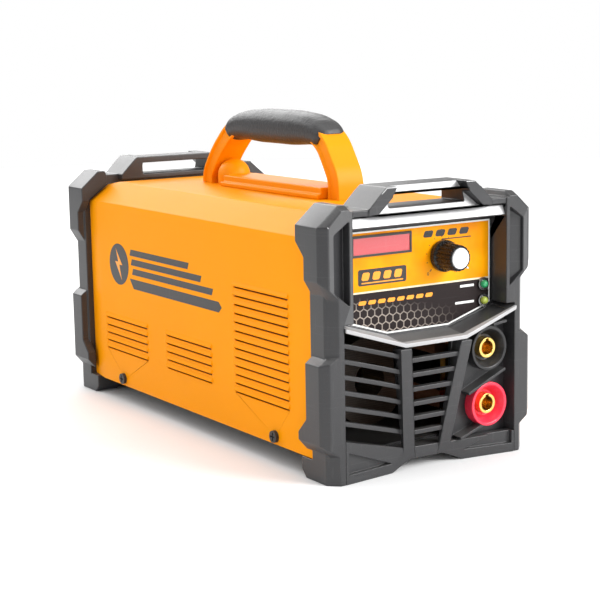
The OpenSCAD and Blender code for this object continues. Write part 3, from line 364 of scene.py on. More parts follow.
@dataclass(frozen=True)
class Finish:
    """A moulded, painted or metal surface with grain, worn edges, scratches and dust.

    Colours are linear. Grain cells are per metre, grain depth is in metres.
    """

    name: str
    colour: Colour
    roughness: float
    metallic: float = 0.0
    grain: float = 1600.0
    depth: float = 0.00002
    variation: float = 0.12
    fleck: float = 0.05
    wear_colour: Colour = (0.3, 0.3, 0.3)
    wear: float = 0.35
    dust: float = 0.12
    scratch: float = 0.15
    coat: float = 0.0
    specular: float = 0.5
    anisotropic: float = 0.0
    glow: Colour | None = None
    glow_strength: float = 0.0

    def material(self) -> bpy.types.Material:
        """Builds the material, or returns the one built before.

        Returns:
            The material under this finish's name.
        """
        if self.name in bpy.data.materials:
            return bpy.data.materials[self.name]
        material = bpy.data.materials.new(self.name)
        material.use_nodes = True
        graph = Graph(material.node_tree)
        shader = graph.add("BsdfPrincipled")
        graph.join(shader.outputs[0], graph.add("OutputMaterial").inputs["Surface"])
        self.set_constants(shader)
        colour, roughness, height = self.surface(graph)
        graph.join(colour, shader.inputs["Base Color"])
        graph.join(roughness, shader.inputs["Roughness"])
        bump = graph.add("Bump")
        bump.inputs["Strength"].default_value = 1.0
        bump.inputs["Distance"].default_value = self.depth
        graph.join(height, bump.inputs["Height"])
        graph.join(bump.outputs[0], shader.inputs["Normal"])
        return material

    def set_constants(self, shader: bpy.types.Node) -> None:
        """Sets what is the same all over the surface on the shader's own sockets.

        Args:
            shader: The material's Principled BSDF.
        """
        shader.inputs["Metallic"].default_value = self.metallic
        shader.inputs["Coat Weight"].default_value = self.coat
        shader.inputs["Coat Roughness"].default_value = 0.12
        shader.inputs["Specular IOR Level"].default_value = self.specular
        shader.inputs["Anisotropic"].default_value = self.anisotropic
        if self.glow:
            shader.inputs["Emission Color"].default_value = (*self.glow, 1.0)
            shader.inputs["Emission Strength"].default_value = self.glow_strength

    def base(self, graph: Graph) -> Field:
        """Gives the colour before wear and dust: the plain colour, slowly varied.

        Args:
            graph: The material's graph.

        Returns:
            The colour as a field.
        """
        deeper = tuple(channel * (1 - self.variation) for channel in self.colour)
        return graph.blend(graph.spread(graph.noise(14.0, 4.0), 0.3, 0.7), deeper, self.colour)

    def surface(self, graph: Graph) -> tuple[Field, Field, Field]:
        """Lays grain, wear, scratches and dust over the base colour.

        Args:
            graph: The material's graph.

        Returns:
            Colour, roughness and bump height.
        """
        grain = EFFECTS.use(graph, Effect.MOULD_GRAIN, Cells=self.grain, Depth=1.0)
        fleck = Field(graph.tree, grain.outputs["Fleck"])
        wear = Field(graph.tree, EFFECTS.use(graph, Effect.EDGE_WEAR, Amount=self.wear).outputs["Wear"])
        dust = Field(graph.tree, EFFECTS.use(graph, Effect.DUST, Amount=self.dust).outputs["Dust"])
        marks = Field(
            graph.tree, EFFECTS.use(graph, Effect.SCRATCHES, Density=self.scratch).outputs["Scratch"]
        )
        colour = graph.blend(fleck * self.fleck, self.base(graph), self.wear_colour)
        colour = graph.blend(marks * 0.5, colour, self.wear_colour)
        colour = graph.blend(wear, colour, self.wear_colour)
        colour = graph.blend(dust, colour, (0.42, 0.4, 0.37))
        roughness = (fleck * 0.06 + self.roughness) + dust * 0.3 + marks * 0.12
        return colour, roughness, Field(graph.tree, grain.outputs["Height"]) - marks * 0.4


@dataclass(frozen=True)
class LabelPrint(Finish):
    """The panel's printed film: an orange field over a dark one, with a white rim and a honeycomb."""

    half_width: float = 58.5
    top_z: float = 153.3
    low_z: float = 87.5
    flat_x: float = 24.2
    chamfer_x: float = 51.9
    side_z: float = 96.2
    divide_z: float = 115.2
    rim: float = 1.0
    dark: Colour = (0.018, 0.012, 0.012)
    white: Colour = (0.86, 0.86, 0.84)

    def base(self, graph: Graph) -> Field:
        """Prints the fields, the dividing line, the honeycomb and the rim.

        Args:
            graph: The material's graph.

        Returns:
            The printed colour.
        """
        x, _, z = graph.place()
        x, z = x / MM, z / MM
        width = x.size()
        lower = z < self.divide_z
        line = (z - self.divide_z).size() < 0.55
        slope = (self.side_z - self.low_z) / (self.chamfer_x - self.flat_x)
        floor = (width - self.flat_x).run("MAXIMUM", 0.0) * slope + self.low_z
        edge = (width > self.half_width - self.rim) | (z > self.top_z - self.rim)
        edge = edge | ((z - floor) < self.rim * 1.1)
        cells = EFFECTS.use(graph, Effect.HONEYCOMB, Pitch=5.6 * MM, Line=0.13)
        fade = graph.spread(z + x * 0.16, 105.5, 95.0) * graph.spread(x, 34.0, -12.0)
        comb = Field(graph.tree, cells.outputs["Line Mask"]) * fade * lower
        tint = graph.blend(graph.spread(graph.noise(30.0, 3.0), 0.3, 0.7), self.colour, (1.0, 0.4, 0.0))
        colour = graph.blend(lower, tint, self.dark)
        colour = graph.blend(comb * 0.8, colour, (0.42, 0.36, 0.31))
        colour = graph.blend(line, colour, (0.78, 0.68, 0.5))
        return graph.blend(edge, colour, self.white)


@dataclass(frozen=True)
class Turned(Finish):
    """Turned metal, with tool marks in rings about an axis along y."""

    centre_x: float = 0.0
    centre_z: float = 0.0
    ring: float = 0.35

    def surface(self, graph: Graph) -> tuple[Field, Field, Field]:
        """Adds the rings to the plain metal surface.

        Args:
            graph: The material's graph.

        Returns:
            Colour, roughness and bump height.
        """
        colour, roughness, height = super().surface(graph)
        x, _, z = graph.place()
        dx, dz = x / MM - self.centre_x, z / MM - self.centre_z
        rings = ((dx * dx + dz * dz).run("SQRT") * (2 * math.pi / self.ring)).run("SINE")
        return colour, roughness + rings * 0.05, height + rings * 0.3


@dataclass(frozen=True)
class Wound(Finish):
    """A wound coil: turns of wire or tape, spaced along z."""

    turn: float = 1.6

    def surface(self, graph: Graph) -> tuple[Field, Field, Field]:
        """Adds the turns to the plain surface.

        Args:
            graph: The material's graph.

        Returns:
            Colour, roughness and bump height.
        """
        colour, roughness, height = super().surface(graph)
        z = graph.place()[2] / MM
        turns = (z * (2 * math.pi / self.turn)).run("SINE")
        dark = tuple(channel * 0.45 for channel in self.colour)
        return graph.blend(graph.spread(turns, -0.2, -1.0), colour, dark), roughness, height + turns


@dataclass(frozen=True)
class Circuit(Finish):
    """A printed circuit board: tracks and pads under a green mask."""

    def base(self, graph: Graph) -> Field:
        """Draws tracks as thin bands of a stepped noise.

        Args:
            graph: The material's graph.

        Returns:
            The board's colour.
        """
        tracks = (graph.noise(120.0, 0.0) * 9.0).wrapped(1.0).size() < 0.12
        pads = graph.spread(graph.noise(420.0, 0.0), 0.66, 0.68)
        colour = graph.blend(tracks * 0.7, self.colour, (0.05, 0.3, 0.12))
        return graph.blend(pads, colour, (0.6, 0.55, 0.4))


FRAME_PLASTIC = Finish(
    "Frame plastic", (0.03, 0.03, 0.032), 0.33, depth=0.000016, wear_colour=(0.16, 0.16, 0.16),
)
# Painted highlight: a light grey given to dark plastic faces that look up and forward, in place of the
# softbox's reflection on them.
HIGHLIGHT_GREY = Finish(
    "Painted highlight grey", (0.46, 0.46, 0.465), 0.36, metallic=0.2, depth=0.000012, variation=0.1,
    wear_colour=(0.3, 0.3, 0.3), wear=0.5, dust=0.0,
)
# Painted highlight: a lighter copy of the frame plastic for the posts' front faces.
POST_HIGHLIGHT_PLASTIC = Finish("Post front painted highlight", (0.075, 0.075, 0.077), 0.36, depth=0.000016, wear_colour=(0.2, 0.2, 0.2))
KNOB_PLASTIC = Finish(
    "Knob plastic", (0.006, 0.006, 0.007), 0.24, specular=0.35, depth=0.000006, variation=0.05,
    wear=0.0, dust=0.02,
)
# Painted highlight: a lighter copy of the fascia plastic for the tread's up-facing middle.
TREAD_HIGHLIGHT_PLASTIC = Finish("Tread painted highlight", (0.1, 0.1, 0.1), 0.4, depth=0.000016, wear_colour=(0.2, 0.2, 0.2))
FASCIA_PLASTIC = Finish(
    "Fascia plastic", (0.022, 0.022, 0.024), 0.34, depth=0.000016, wear_colour=(0.12, 0.12, 0.12),
)
COVER_PAINT = Finish(
    "Cover paint", (0.93, 0.32, 0.0), 0.4, grain=900.0, depth=0.00001, variation=0.04, fleck=0.01,
    specular=0.06,
    wear_colour=(0.95, 0.45, 0.04), wear=0.25, dust=0.0, scratch=0.05,
)
HANDLE_PLASTIC = Finish(
    "Handle plastic", (0.93, 0.31, 0.0), 0.4, depth=0.00002, variation=0.05, fleck=0.01, specular=0.16,
    wear_colour=(1.0, 0.45, 0.04), dust=0.0, scratch=0.05,
)
GRIP_RUBBER = Finish(
    "Grip rubber", (0.028, 0.028, 0.03), 0.42, grain=620.0, depth=0.00022, variation=0.2,
    wear_colour=(0.1, 0.1, 0.1), wear=0.2, scratch=0.02,
)
BLACK_PLASTIC = Finish("Black plastic", (0.009, 0.009, 0.01), 0.3, wear_colour=(0.09, 0.09, 0.09))
RED_PLASTIC = Finish(
    "Red plastic", (0.85, 0.02, 0.06), 0.34, variation=0.06, coat=0.2, wear_colour=(0.9, 0.2, 0.2), dust=0.03,
)
BLACK_STEEL = Finish("Black steel", (0.022, 0.022, 0.023), 0.42, metallic=0.2, wear_colour=(0.3, 0.3, 0.3))
ZINC = Finish("Zinc plate", (0.62, 0.62, 0.64), 0.32, metallic=1.0, variation=0.18, wear=0.1)
DARK_CHROME = Finish(
    "Dark chrome", (0.2, 0.2, 0.2), 0.2, metallic=1.0, variation=0.04, depth=0.000004, wear=0.0,
)
CHROME = Finish(
    "Chrome", (0.75, 0.75, 0.76), 0.14, metallic=1.0, variation=0.04, depth=0.000004, wear=0.0, dust=0.03,
)
BRASS_PLAIN = Finish("Plain brass", (0.83, 0.55, 0.16), 0.28, metallic=1.0, variation=0.15, wear=0.1)
COPPER = Finish("Copper bar", (0.87, 0.42, 0.26), 0.3, metallic=1.0, variation=0.2, wear=0.1)
ALUMINIUM = Finish(
    "Black anodised aluminium", (0.05, 0.05, 0.055), 0.4, metallic=0.8, anisotropic=0.4, wear=0.1,
    scratch=0.2,
)
# An insulating board such as real machines carry, made near-black so that it paints the shade inside the case
# behind the louvres.
SHADE_LINER = Finish("Insulating board dark for shade", (0.016, 0.016, 0.017), 0.6, depth=0.00003, wear=0.0, dust=0.1)
FERRITE = Finish("Ferrite", (0.05, 0.05, 0.055), 0.5, variation=0.25, depth=0.00004)
COIL_TAPE = Wound("Coil tape", (0.8, 0.5, 0.06), 0.35, wear=0.1)
COIL_VARNISH = Wound("Coil varnish", (0.05, 0.03, 0.018), 0.35, wear=0.1, dust=0.1)
BOARD = Circuit("Circuit board", (0.012, 0.13, 0.04), 0.3, coat=0.3, wear=0.0, dust=0.2)
LABEL = LabelPrint(
    "Panel print", (0.72, 0.21, 0.0), 0.34, fleck=0.0, specular=0.15, depth=0.000004, wear=0.0,
    dust=0.0, scratch=0.03,
)
INK_DARK = Finish("Dark ink", (0.014, 0.011, 0.011), 0.34, depth=0.000003, wear=0.0, dust=0.0, scratch=0.06)
INK_ORANGE = Finish("Orange ink", (1.0, 0.36, 0.01), 0.34, depth=0.000003, wear=0.0, dust=0.0, scratch=0.06)
INK_WHITE = Finish("White ink", (0.84, 0.84, 0.82), 0.34, depth=0.000003, wear=0.0, dust=0.0, scratch=0.06)
LENS_RED = Finish(
    "Display lens", (0.5, 0.045, 0.055), 0.2, depth=0.000002, coat=0.6, wear=0.0, dust=0.02, scratch=0.08,
    glow=(0.8, 0.09, 0.1), glow_strength=0.12,
)
LAMP_GREEN = Finish(
    "Power lamp lens", (0.02, 0.34, 0.12), 0.15, depth=0.000002, coat=0.5, wear=0.0, dust=0.0,
    glow=(0.0, 0.35, 0.12), glow_strength=0.12,
)
LAMP_YELLOW = Finish(
    "Heat lamp lens", (0.42, 0.5, 0.06), 0.15, depth=0.000002, coat=0.5, wear=0.0, dust=0.0,
    glow=(0.4, 0.45, 0.05), glow_strength=0.08,
)
CAP_METAL = Turned(
    "Knob cap", (0.9, 0.9, 0.91), 0.3, metallic=0.55, depth=0.000006, wear=0.0, dust=0.0, scratch=0.03,
    centre_x=19.2, centre_z=133.0,
)
PLATE_METAL = Finish("Plate metal", (0.7, 0.7, 0.71), 0.3, metallic=1.0, scratch=0.4, wear=0.1)


# ---------------------------------------------------------------- mesh helpers


def panel_y() -> float:
    """Returns the y of the front rim's plane in millimetres, from the frames themselves."""
    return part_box("front_frame")[0][1] / MM


RIM = panel_y()


def at(x: float, y: float, z: float) -> Vector:
    """Turns a place on the machine's drawing into metres in the shared frame."""
    return Vector((x, y + RIM, z)) * MM


def side_name(side: float) -> str:
    """Gives the word for a side: left for a negative x, right for a positive one."""
    return "left" if side < 0 else "right"


def add_piece(
    name: str, mesh: bmesh.types.BMesh, body: str, finish: Finish, smooth: float = 32.0
) -> bpy.types.Object:
    """Makes a finished object from a mesh and lets it ride on a body.

    Args:
        name: The piece's name.
        mesh: The mesh in metres, which is freed.
        body: The body that carries the piece.
        finish: What it is made of.
        smooth: Edges that turn by more than this many degrees stay sharp.

    Returns:
        The new object.
    """
    bmesh.ops.recalc_face_normals(mesh, faces=mesh.faces)
    data = bpy.data.meshes.new(name)
    mesh.to_mesh(data)
    mesh.free()
    piece = bpy.data.objects.new(name, data)
    bpy.context.scene.collection.objects.link(piece)
    data.materials.append(finish.material())
    data.shade_smooth()
    data.set_sharp_from_angle(angle=math.radians(smooth))
    weighted = piece.modifiers.new("weighted", "WEIGHTED_NORMAL")
    weighted.keep_sharp = True
    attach(piece, body)
    LOG.info("%s: %d faces on %s", name, len(data.polygons), body)
    return piece


def dress(finish: Finish, *nodes: str) -> None:
    """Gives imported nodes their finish, keeping their meshes.

    Args:
        finish: What they are made of.
        nodes: Names of the nodes.
    """
    for node in nodes:
        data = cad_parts[node].data
        data.materials.clear()
        data.materials.append(finish.material())
        LOG.info("%s: dressed in %s", node, finish.name)


def soften(
    node: str, body: str, finish: Finish, radius: float, segments: int = 2, crease: float = 24.0,
    tidy: bool = True,
) -> bpy.types.Object:
    """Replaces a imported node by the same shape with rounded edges.

    Args:
        node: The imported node.
        body: The body that it belongs to.
        finish: What it is made of.
        radius: Width of the rounding in millimetres.
        segments: Steps in each rounding.
        crease: Only edges that turn by more than this many degrees are rounded.
        tidy: Whether flat triangles are joined first, which faces with many holes don't survive.

    Returns:
        The new piece.
    """
    mesh = bmesh.new()
    mesh.from_mesh(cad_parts[node].data)
    bmesh.ops.remove_doubles(mesh, verts=mesh.verts, dist=0.000002)
    if tidy:
        bmesh.ops.dissolve_limit(mesh, angle_limit=math.radians(0.6), verts=mesh.verts, edges=mesh.edges)
    mesh.normal_update()
    sharp = [
        edge for edge in mesh.edges
        if len(edge.link_faces) == 2 and edge.calc_face_angle(0.0) > math.radians(crease)
    ]
    bmesh.ops.bevel(
        mesh, geom=sharp, offset=radius * MM, offset_type="OFFSET", segments=segments, profile=0.5,
        affect="EDGES", clamp_overlap=False, miter_outer="ARC",
    )
    piece = add_piece("soft_" + node, mesh, body, finish, 40.0)
    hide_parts(node)
    return piece


def trim_faces(piece: bpy.types.Object, finish: Finish, chosen: Callable[[Vector, Vector], bool]) -> None:
    """Gives some faces of a piece a second finish.

    Args:
        piece: The piece.
        finish: The second finish.
        chosen: Says whether a face takes it, from its middle in drawing millimetres and its normal.
    """
    piece.data.materials.append(finish.material())
    slot = len(piece.data.materials) - 1
    for face in piece.data.polygons:
        middle = face.center / MM - Vector((0, RIM, 0))
        if chosen(middle, face.normal):
            face.material_index = slot


def flat_shape(outline: Sequence[Vector], lift: Vector) -> bmesh.types.BMesh:
    """Makes a thin plate from an outline.

    Args:
        outline: The corners of its back face, in metres.
        lift: The way and distance to its front face.

    Returns:
        The plate's mesh.
    """
    mesh = bmesh.new()
    back = [mesh.verts.new(corner) for corner in outline]
    front = [mesh.verts.new(corner + lift) for corner in outline]
    mesh.faces.new(back[::-1])
    mesh.faces.new(front)
    for index in range(len(outline)):
        after = (index + 1) % len(outline)
        mesh.faces.new((back[index], back[after], front[after], front[index]))
    return mesh


def merge(meshes: Iterable[bmesh.types.BMesh]) -> bmesh.types.BMesh:
    """Joins several meshes into one and frees them."""
    whole = bmesh.new()
    for mesh in meshes:
        data = bpy.data.meshes.new("part")
        mesh.to_mesh(data)
        mesh.free()
        whole.from_mesh(data)
        bpy.data.meshes.remove(data)
    return whole


def round_corners(points: Sequence[Point], radius: float, steps: int = 5) -> list[Point]:
    """Rounds the inner corners of an open line with arcs.

    Args:
        points: The line's corners.
        radius: Distance from a corner to where its arc starts.
        steps: Number of points on each arc.

    Returns:
        The rounded line.
    """
    line = [Vector(points[0])]
    for before, corner, after in zip(points, points[1:], points[2:]):
        corner = Vector(corner)
        back, ahead = Vector(before) - corner, Vector(after) - corner
        reach = min(radius, back.length * 0.45, ahead.length * 0.45)
        start, end = corner + back.normalized() * reach, corner + ahead.normalized() * reach
        for step in range(steps + 1):
            t = step / steps
            line.append(start * (1 - t) ** 2 + corner * (2 * t * (1 - t)) + end * t**2)
    line.append(Vector(points[-1]))
    return [(point.x, point.y) for point in line]


def sweep(
    path: Sequence[Point], section: Callable[[float], Sequence[Point]]
) -> bmesh.types.BMesh:
    """Sweeps a section along a line in the machine's middle plane.

    Args:
        path: The line's points (y, z) in drawing millimetres.
        section: Gives the section's points (x, outward) in millimetres, for a share 0..1 of the line.

    Returns:
        The closed mesh.
    """
    lengths = [0.0]
    for a, b in zip(path, path[1:]):
        lengths.append(lengths[-1] + math.dist(a, b))
    mesh = bmesh.new()
    rings = []
    for index, (y, z) in enumerate(path):
        before, after = path[max(index - 1, 0)], path[min(index + 1, len(path) - 1)]
        along = Vector((after[0] - before[0], after[1] - before[1])).normalized()
        out = Vector((-along.y, along.x))
        ring = [
            mesh.verts.new(at(x, y + out.x * n, z + out.y * n))
            for x, n in section(lengths[index] / lengths[-1])
        ]
        rings.append(ring)
    for low, high in zip(rings, rings[1:]):
        for index in range(len(low)):
            after = (index + 1) % len(low)
            mesh.faces.new((low[index], low[after], high[after], high[index]))
    mesh.faces.new(rings[0][::-1])
    mesh.faces.new(rings[-1])
    return mesh


def revolve(
    x: float, z: float, profile: Sequence[tuple[float, float, float]], steps: int, flutes: int = 0
) -> bmesh.types.BMesh:
    """Turns a profile about an axis along y.

    Args:
        x: The axis's x on the drawing.
        z: The axis's z.
        profile: Points (y, radius, flute depth) from the front to the back, in millimetres.
        steps: Points in each ring.
        flutes: Number of flutes round the part.

    Returns:
        The closed mesh.
    """
    mesh = bmesh.new()
    rings = []
    for y, radius, deep in profile:
        ring = []
        for step in range(steps):
            angle = 2 * math.pi * step / steps
            wave = 0.5 + 0.5 * math.cos(flutes * angle) if flutes else 0.0
            r = radius - deep * wave**3
            ring.append(mesh.verts.new(at(x + r * math.cos(angle), y, z + r * math.sin(angle))))
        rings.append(ring)
    for low, high in zip(rings, rings[1:]):
        for index in range(steps):
            after = (index + 1) % steps
            mesh.faces.new((low[index], low[after], high[after], high[index]))
    mesh.faces.new(rings[0][::-1])
    mesh.faces.new(rings[-1])
    return mesh


def figures(text: str, x: float, z: float, y: float, height: float) -> bmesh.types.BMesh:
    """Makes flat figures that face the user, such as the numbers of a dial.

    Args:
        text: The figures.
        x: Middle of the figures.
        z: Middle of the figures.
        y: The plane that they are printed on.
        height: Height of a figure in millimetres.

    Returns:
        Their mesh.
    """
    curve = bpy.data.curves.new("figures", "FONT")
    curve.body = text
    curve.size = height * 1.4 * MM
    curve.align_x = "CENTER"
    curve.align_y = "CENTER"
    curve.extrude = 0.04 * MM
    writer = bpy.data.objects.new("figures", curve)
    bpy.context.scene.collection.objects.link(writer)
    data = bpy.data.meshes.new_from_object(writer.evaluated_get(bpy.context.evaluated_depsgraph_get()))
    mesh = bmesh.new()
    mesh.from_mesh(data)
    mesh.transform(Matrix.Translation(at(x, y, z)) @ Matrix.Rotation(math.radians(90), 4, "X"))
    bpy.data.objects.remove(writer)
    bpy.data.curves.remove(curve)
    bpy.data.meshes.remove(data)
    return mesh


# ---------------------------------------------------------------- sub-assemblies


@dataclass
class EndFrames:
    """The two moulded end frames with their corner pads, and the screws under their feet."""

    edge: float = 0.7
    brow_z: float = 155.5
    groove_z: float = 164.2
    face_x: float = 41.5
    post_x: float = 59.5
    post_z: float = 110.0

    def build(self) -> None:
        """Rounds the frames' edges and dresses them."""
        front = soften("front_frame", "case", FRAME_PLASTIC, self.edge)
        # Painted highlight on the hump's sloping face and the brow strip.
        trim_faces(front, HIGHLIGHT_GREY, self.on_brow)
        # Painted highlight on the posts' front faces round the pockets.
        trim_faces(front, POST_HIGHLIGHT_PLASTIC, self.on_post)
        soften("rear_frame", "case", FRAME_PLASTIC, self.edge)
        dress(ZINC, "frame_screws")

    def on_post(self, middle: Vector, normal: Vector) -> bool:
        """Tells the posts' front faces round the pockets, which take a painted highlight."""
        return normal.y < -0.99 and middle.y < 0.6 and abs(middle.x) > self.post_x and middle.z > self.post_z

    def on_brow(self, middle: Vector, normal: Vector) -> bool:
        """Tells the faces that take a painted highlight: the hump's sloping face and the brow strip below it.
        """
        sloping = normal.y < -0.75 and normal.z > 0.12 and middle.y < 10.5
        on_hump = middle.z > self.groove_z and abs(middle.x) < self.face_x
        return sloping and (on_hump or self.brow_z < middle.z < self.groove_z)


@dataclass
class FrontEnd:
    """The raked grille and the fascia behind it."""

    slat_edge: float = 0.45
    lip_z: Point = (80.5, 99.7)
    lip_y: float = -0.4
    tread_y: float = 15.8
    nose_x: float = 23.9

    def on_lip(self, middle: Vector, normal: Vector) -> bool:
        """Tells the shelf's lip, and the left tread, which take a painted highlight, from the fascia behind
        them.
        """
        on_shelf = self.lip_z[0] < middle.z < self.lip_z[1]
        on_left = middle.x < -self.nose_x and middle.y < self.tread_y and normal.z > 0.6
        return on_shelf and (middle.y < self.lip_y or on_left)

    def on_tread(self, middle: Vector, normal: Vector) -> bool:
        """Tells the middle of the shelf's tread, which takes a lighter grey as a painted highlight."""
        level = normal.z > 0.9 and self.lip_y < middle.y < self.tread_y
        return level and abs(middle.x) < self.nose_x and self.lip_z[0] < middle.z < self.lip_z[1]

    def split_lip(self, fascia: bpy.types.Object) -> None:
        """Cuts the fascia's faces along the back of the lip, so that the lip can take its painted highlight.
        """
        mesh = bmesh.new()
        mesh.from_mesh(fascia.data)
        every = mesh.verts[:] + mesh.edges[:] + mesh.faces[:]
        bmesh.ops.bisect_plane(mesh, geom=every, plane_co=at(0.0, self.lip_y, 0.0), plane_no=(0.0, 1.0, 0.0))
        mesh.to_mesh(fascia.data)
        mesh.free()

    def build(self) -> None:
        """Rounds the slats, the nose bars and the shelf's lip."""
        soften("front_grille", "case", FRAME_PLASTIC, self.slat_edge)
        fascia = soften("front_fascia", "case", FASCIA_PLASTIC, 0.3)
        self.split_lip(fascia)
        # Painted highlight on the shelf's lip and the left tread.
        trim_faces(fascia, HIGHLIGHT_GREY, self.on_lip)
        # Painted highlight on the up-facing middle of the tread.
        trim_faces(fascia, TREAD_HIGHLIGHT_PLASTIC, self.on_tread)
        dress(ZINC, "panel_screws")


@dataclass
class ControlPanel:
    """The printed label with its display, current knob, dial marks and lamps."""

    label_y: float = 15.4
    knob_x: float = 19.2
    knob_z: float = 133.0
    knob_r: float = 10.2
    dial_sweep: float = 270.0
    dial_marks: int = 11
    plate_x: Point = (-46.0, -9.0)
    plate_z: Point = (119.4, 129.6)

    def build(self) -> None:
        """Builds the panel's pieces in order, from the label outwards."""
        dress(LABEL, "control_label")
        dress(LENS_RED, "display_window")
        dress(BLACK_PLASTIC, "display_module")
        self.build_display_rim()
        self.build_knob()
        self.build_dial()
        self.build_prints()
        self.build_lamps()
        dress(DARK_CHROME, "pot_body", "pot_nut", "pot_shaft", "control_board_screws")
        dress(BOARD, "control_board")

    def bar(self, low: Point, high: Point, slant: float = 0.0, proud: float = 0.06) -> bmesh.types.BMesh:
        """Makes a printed bar with small cut corners.

        Args:
            low: Its lower left corner (x, z).
            high: Its upper right corner.
            slant: How far its top leans to the right.
            proud: How far it stands off the label.

        Returns:
            The bar's mesh.
        """
        (x0, z0), (x1, z1) = low, high
        cut = min(0.9, (z1 - z0) * 0.25, (x1 - x0) * 0.25)
        corners = [
            (x0 + cut, z0), (x1 - cut, z0), (x1, z0 + cut), (x1 + slant, z1 - cut),
            (x1 + slant - cut, z1), (x0 + slant + cut, z1), (x0 + slant, z1 - cut), (x0, z0 + cut),
        ]
        return flat_shape([at(x, self.label_y - 0.01, z) for x, z in corners], Vector((0, -proud * MM, 0)))

    def build_display_rim(self) -> None:
        """Frames the display with a thin dark moulded rim."""
        (x0, _, z0), (x1, _, z1) = (Vector(c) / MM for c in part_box("display_window"))
        width, proud = 1.3, 1.1
        mesh = bmesh.new()
        loops = []
        inner_y, outer_y, flare = 14.9, 15.4, 0.3
        face_y = self.label_y - proud
        for grow, y in ((0.0, inner_y), (0.0, face_y), (width, face_y), (width + flare, outer_y)):
            left, right, bottom, top = x0 - grow, x1 + grow, z0 - grow, z1 + grow
            corners = ((left, bottom), (right, bottom), (right, top), (left, top))
            loops.append([mesh.verts.new(at(x, y, z)) for x, z in corners])
        for low, high in zip(loops, loops[1:]):
            for index in range(4):
                after = (index + 1) % 4
                mesh.faces.new((low[index], low[after], high[after], high[index]))
        add_piece("display_rim", mesh, "case", FASCIA_PLASTIC)

    def build_knob(self) -> None:
        """Turns the fluted knob, its pointer and its bright domed cap."""
        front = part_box("knob")[0][1] / MM - RIM
        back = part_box("knob")[1][1] / MM - RIM
        r = self.knob_r
        profile = [
            (front + 1.4, r - 3.6, 0.0), (front + 0.3, r - 3.3, 0.0), (front, r - 2.9, 0.1),
            (front + 0.5, r - 2.2, 0.5), (front + 1.3, r - 1.9, 0.9), (back - 5.2, r - 1.3, 0.9),
            (back - 4.4, r - 0.9, 0.3), (back - 3.8, r - 0.2, 0.0), (back - 3.2, r, 0.0),
            (back - 0.4, r, 0.0), (back, r - 0.3, 0.0), (back, r - 2.6, 0.0),
        ]
        knob = add_piece(
            "knob_grip", revolve(self.knob_x, self.knob_z, profile, 144, 18), "knob", KNOB_PLASTIC, 50.0
        )
        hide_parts("knob")
        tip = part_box("knob_cap")[0][1] / MM - RIM
        cap = add_piece(
            "knob_bright_cap",
            revolve(
                self.knob_x, self.knob_z,
                [
                    (tip, 0.6, 0.0), (tip, r - 4.6, 0.0), (tip + 0.2, r - 3.9, 0.0),
                    (tip + 0.7, r - 3.5, 0.0), (tip + 1.8, r - 3.4, 0.0),
                ],
                72,
            ),
            "knob", CAP_METAL, 60.0,
        )
        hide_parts("knob_cap")
        pointer = bmesh.new()
        turn = Matrix.Rotation(math.radians(self.dial_sweep / 2), 4, "Y")
        corners = ((-0.35, r - 3.0), (0.35, r - 3.0), (0.35, r - 0.4), (-0.35, r - 0.4))
        depths = (front + 1.0, back - 3.25)
        rows = [
            [
                pointer.verts.new(turn @ Vector((x * MM, 0, z * MM)) + at(self.knob_x, y, self.knob_z))
                for x, z in corners
            ]
            for y in depths
        ]
        pointer.faces.new(rows[0])
        pointer.faces.new(rows[1][::-1])
        for index in range(4):
            after = (index + 1) % 4
            pointer.faces.new((rows[0][index], rows[0][after], rows[1][after], rows[1][index]))
        mark = add_piece("knob_pointer", pointer, "knob", INK_WHITE)

    def build_dial(self) -> None:
        """Prints the scale round the knob: a mark for each step, and figures at every fifth."""
        marks, numbers = [], []
        for step in range(self.dial_marks):
            share = step / (self.dial_marks - 1)
            angle = math.radians(90 + self.dial_sweep / 2 - share * self.dial_sweep)
            along = Vector((math.cos(angle), math.sin(angle)))
            across = Vector((-math.sin(angle), math.cos(angle)))
            long = step % 5 == 0
            near, far, half = self.knob_r + 1.5, self.knob_r + (3.4 if long else 2.6), 0.3 if long else 0.2
            corners = [along * near - across * half, along * far - across * half,
                       along * far + across * half, along * near + across * half]
            outline = [at(self.knob_x + c.x, self.label_y - 0.01, self.knob_z + c.y) for c in corners]
            marks.append(flat_shape(outline, Vector((0, -0.06 * MM, 0))))
            if long:
                reach = self.knob_r + 5.4
                numbers.append(figures(str(step), self.knob_x + along.x * reach,
                                       self.knob_z + along.y * reach, self.label_y - 0.05, 2.2))
        print_of_marks = add_piece("dial_marks", merge(marks), "case", INK_DARK)
        print_of_numbers = add_piece("dial_numbers", merge(numbers), "case", INK_DARK)

    def build_prints(self) -> None:
        """Prints the plain bars that stand where such panels carry lettering."""
        plate = add_piece(
            "print_plate", self.bar((self.plate_x[0], self.plate_z[0]), (self.plate_x[1], self.plate_z[1])),
            "case", INK_DARK,
        )
        bars = [self.bar((-43.5 + 8.3 * i, 122.6), (-37.9 + 8.3 * i, 127.6), 0.8, 0.12) for i in range(4)]
        bars.append(self.bar((-43.5, 120.6), (-11.6, 121.4), 0.0, 0.12))
        stripes = add_piece("print_plate_bars", merge(bars), "case", INK_ORANGE)
        top = [self.bar((4.5 + 9.6 * i, 145.4), (11.6 + 9.6 * i, 149.6), 0.9) for i in range(4)]
        top.append(self.bar((19.0, 143.0), (43.0, 143.7)))
        header = add_piece("print_header", merge(top), "case", INK_DARK)
        low = [self.bar((-46.0 + 7.4 * i, 107.4), (-40.4 + 7.4 * i, 110.0), 0.5) for i in range(8)]
        title = add_piece("print_title", merge(low), "case", INK_ORANGE)
        tags = [
            self.bar((34.0, 110.6), (45.5, 112.2)),
            self.bar((30.0, 99.9), (45.5, 101.5)),
        ]
        names = add_piece("print_lamp_names", merge(tags), "case", INK_WHITE)

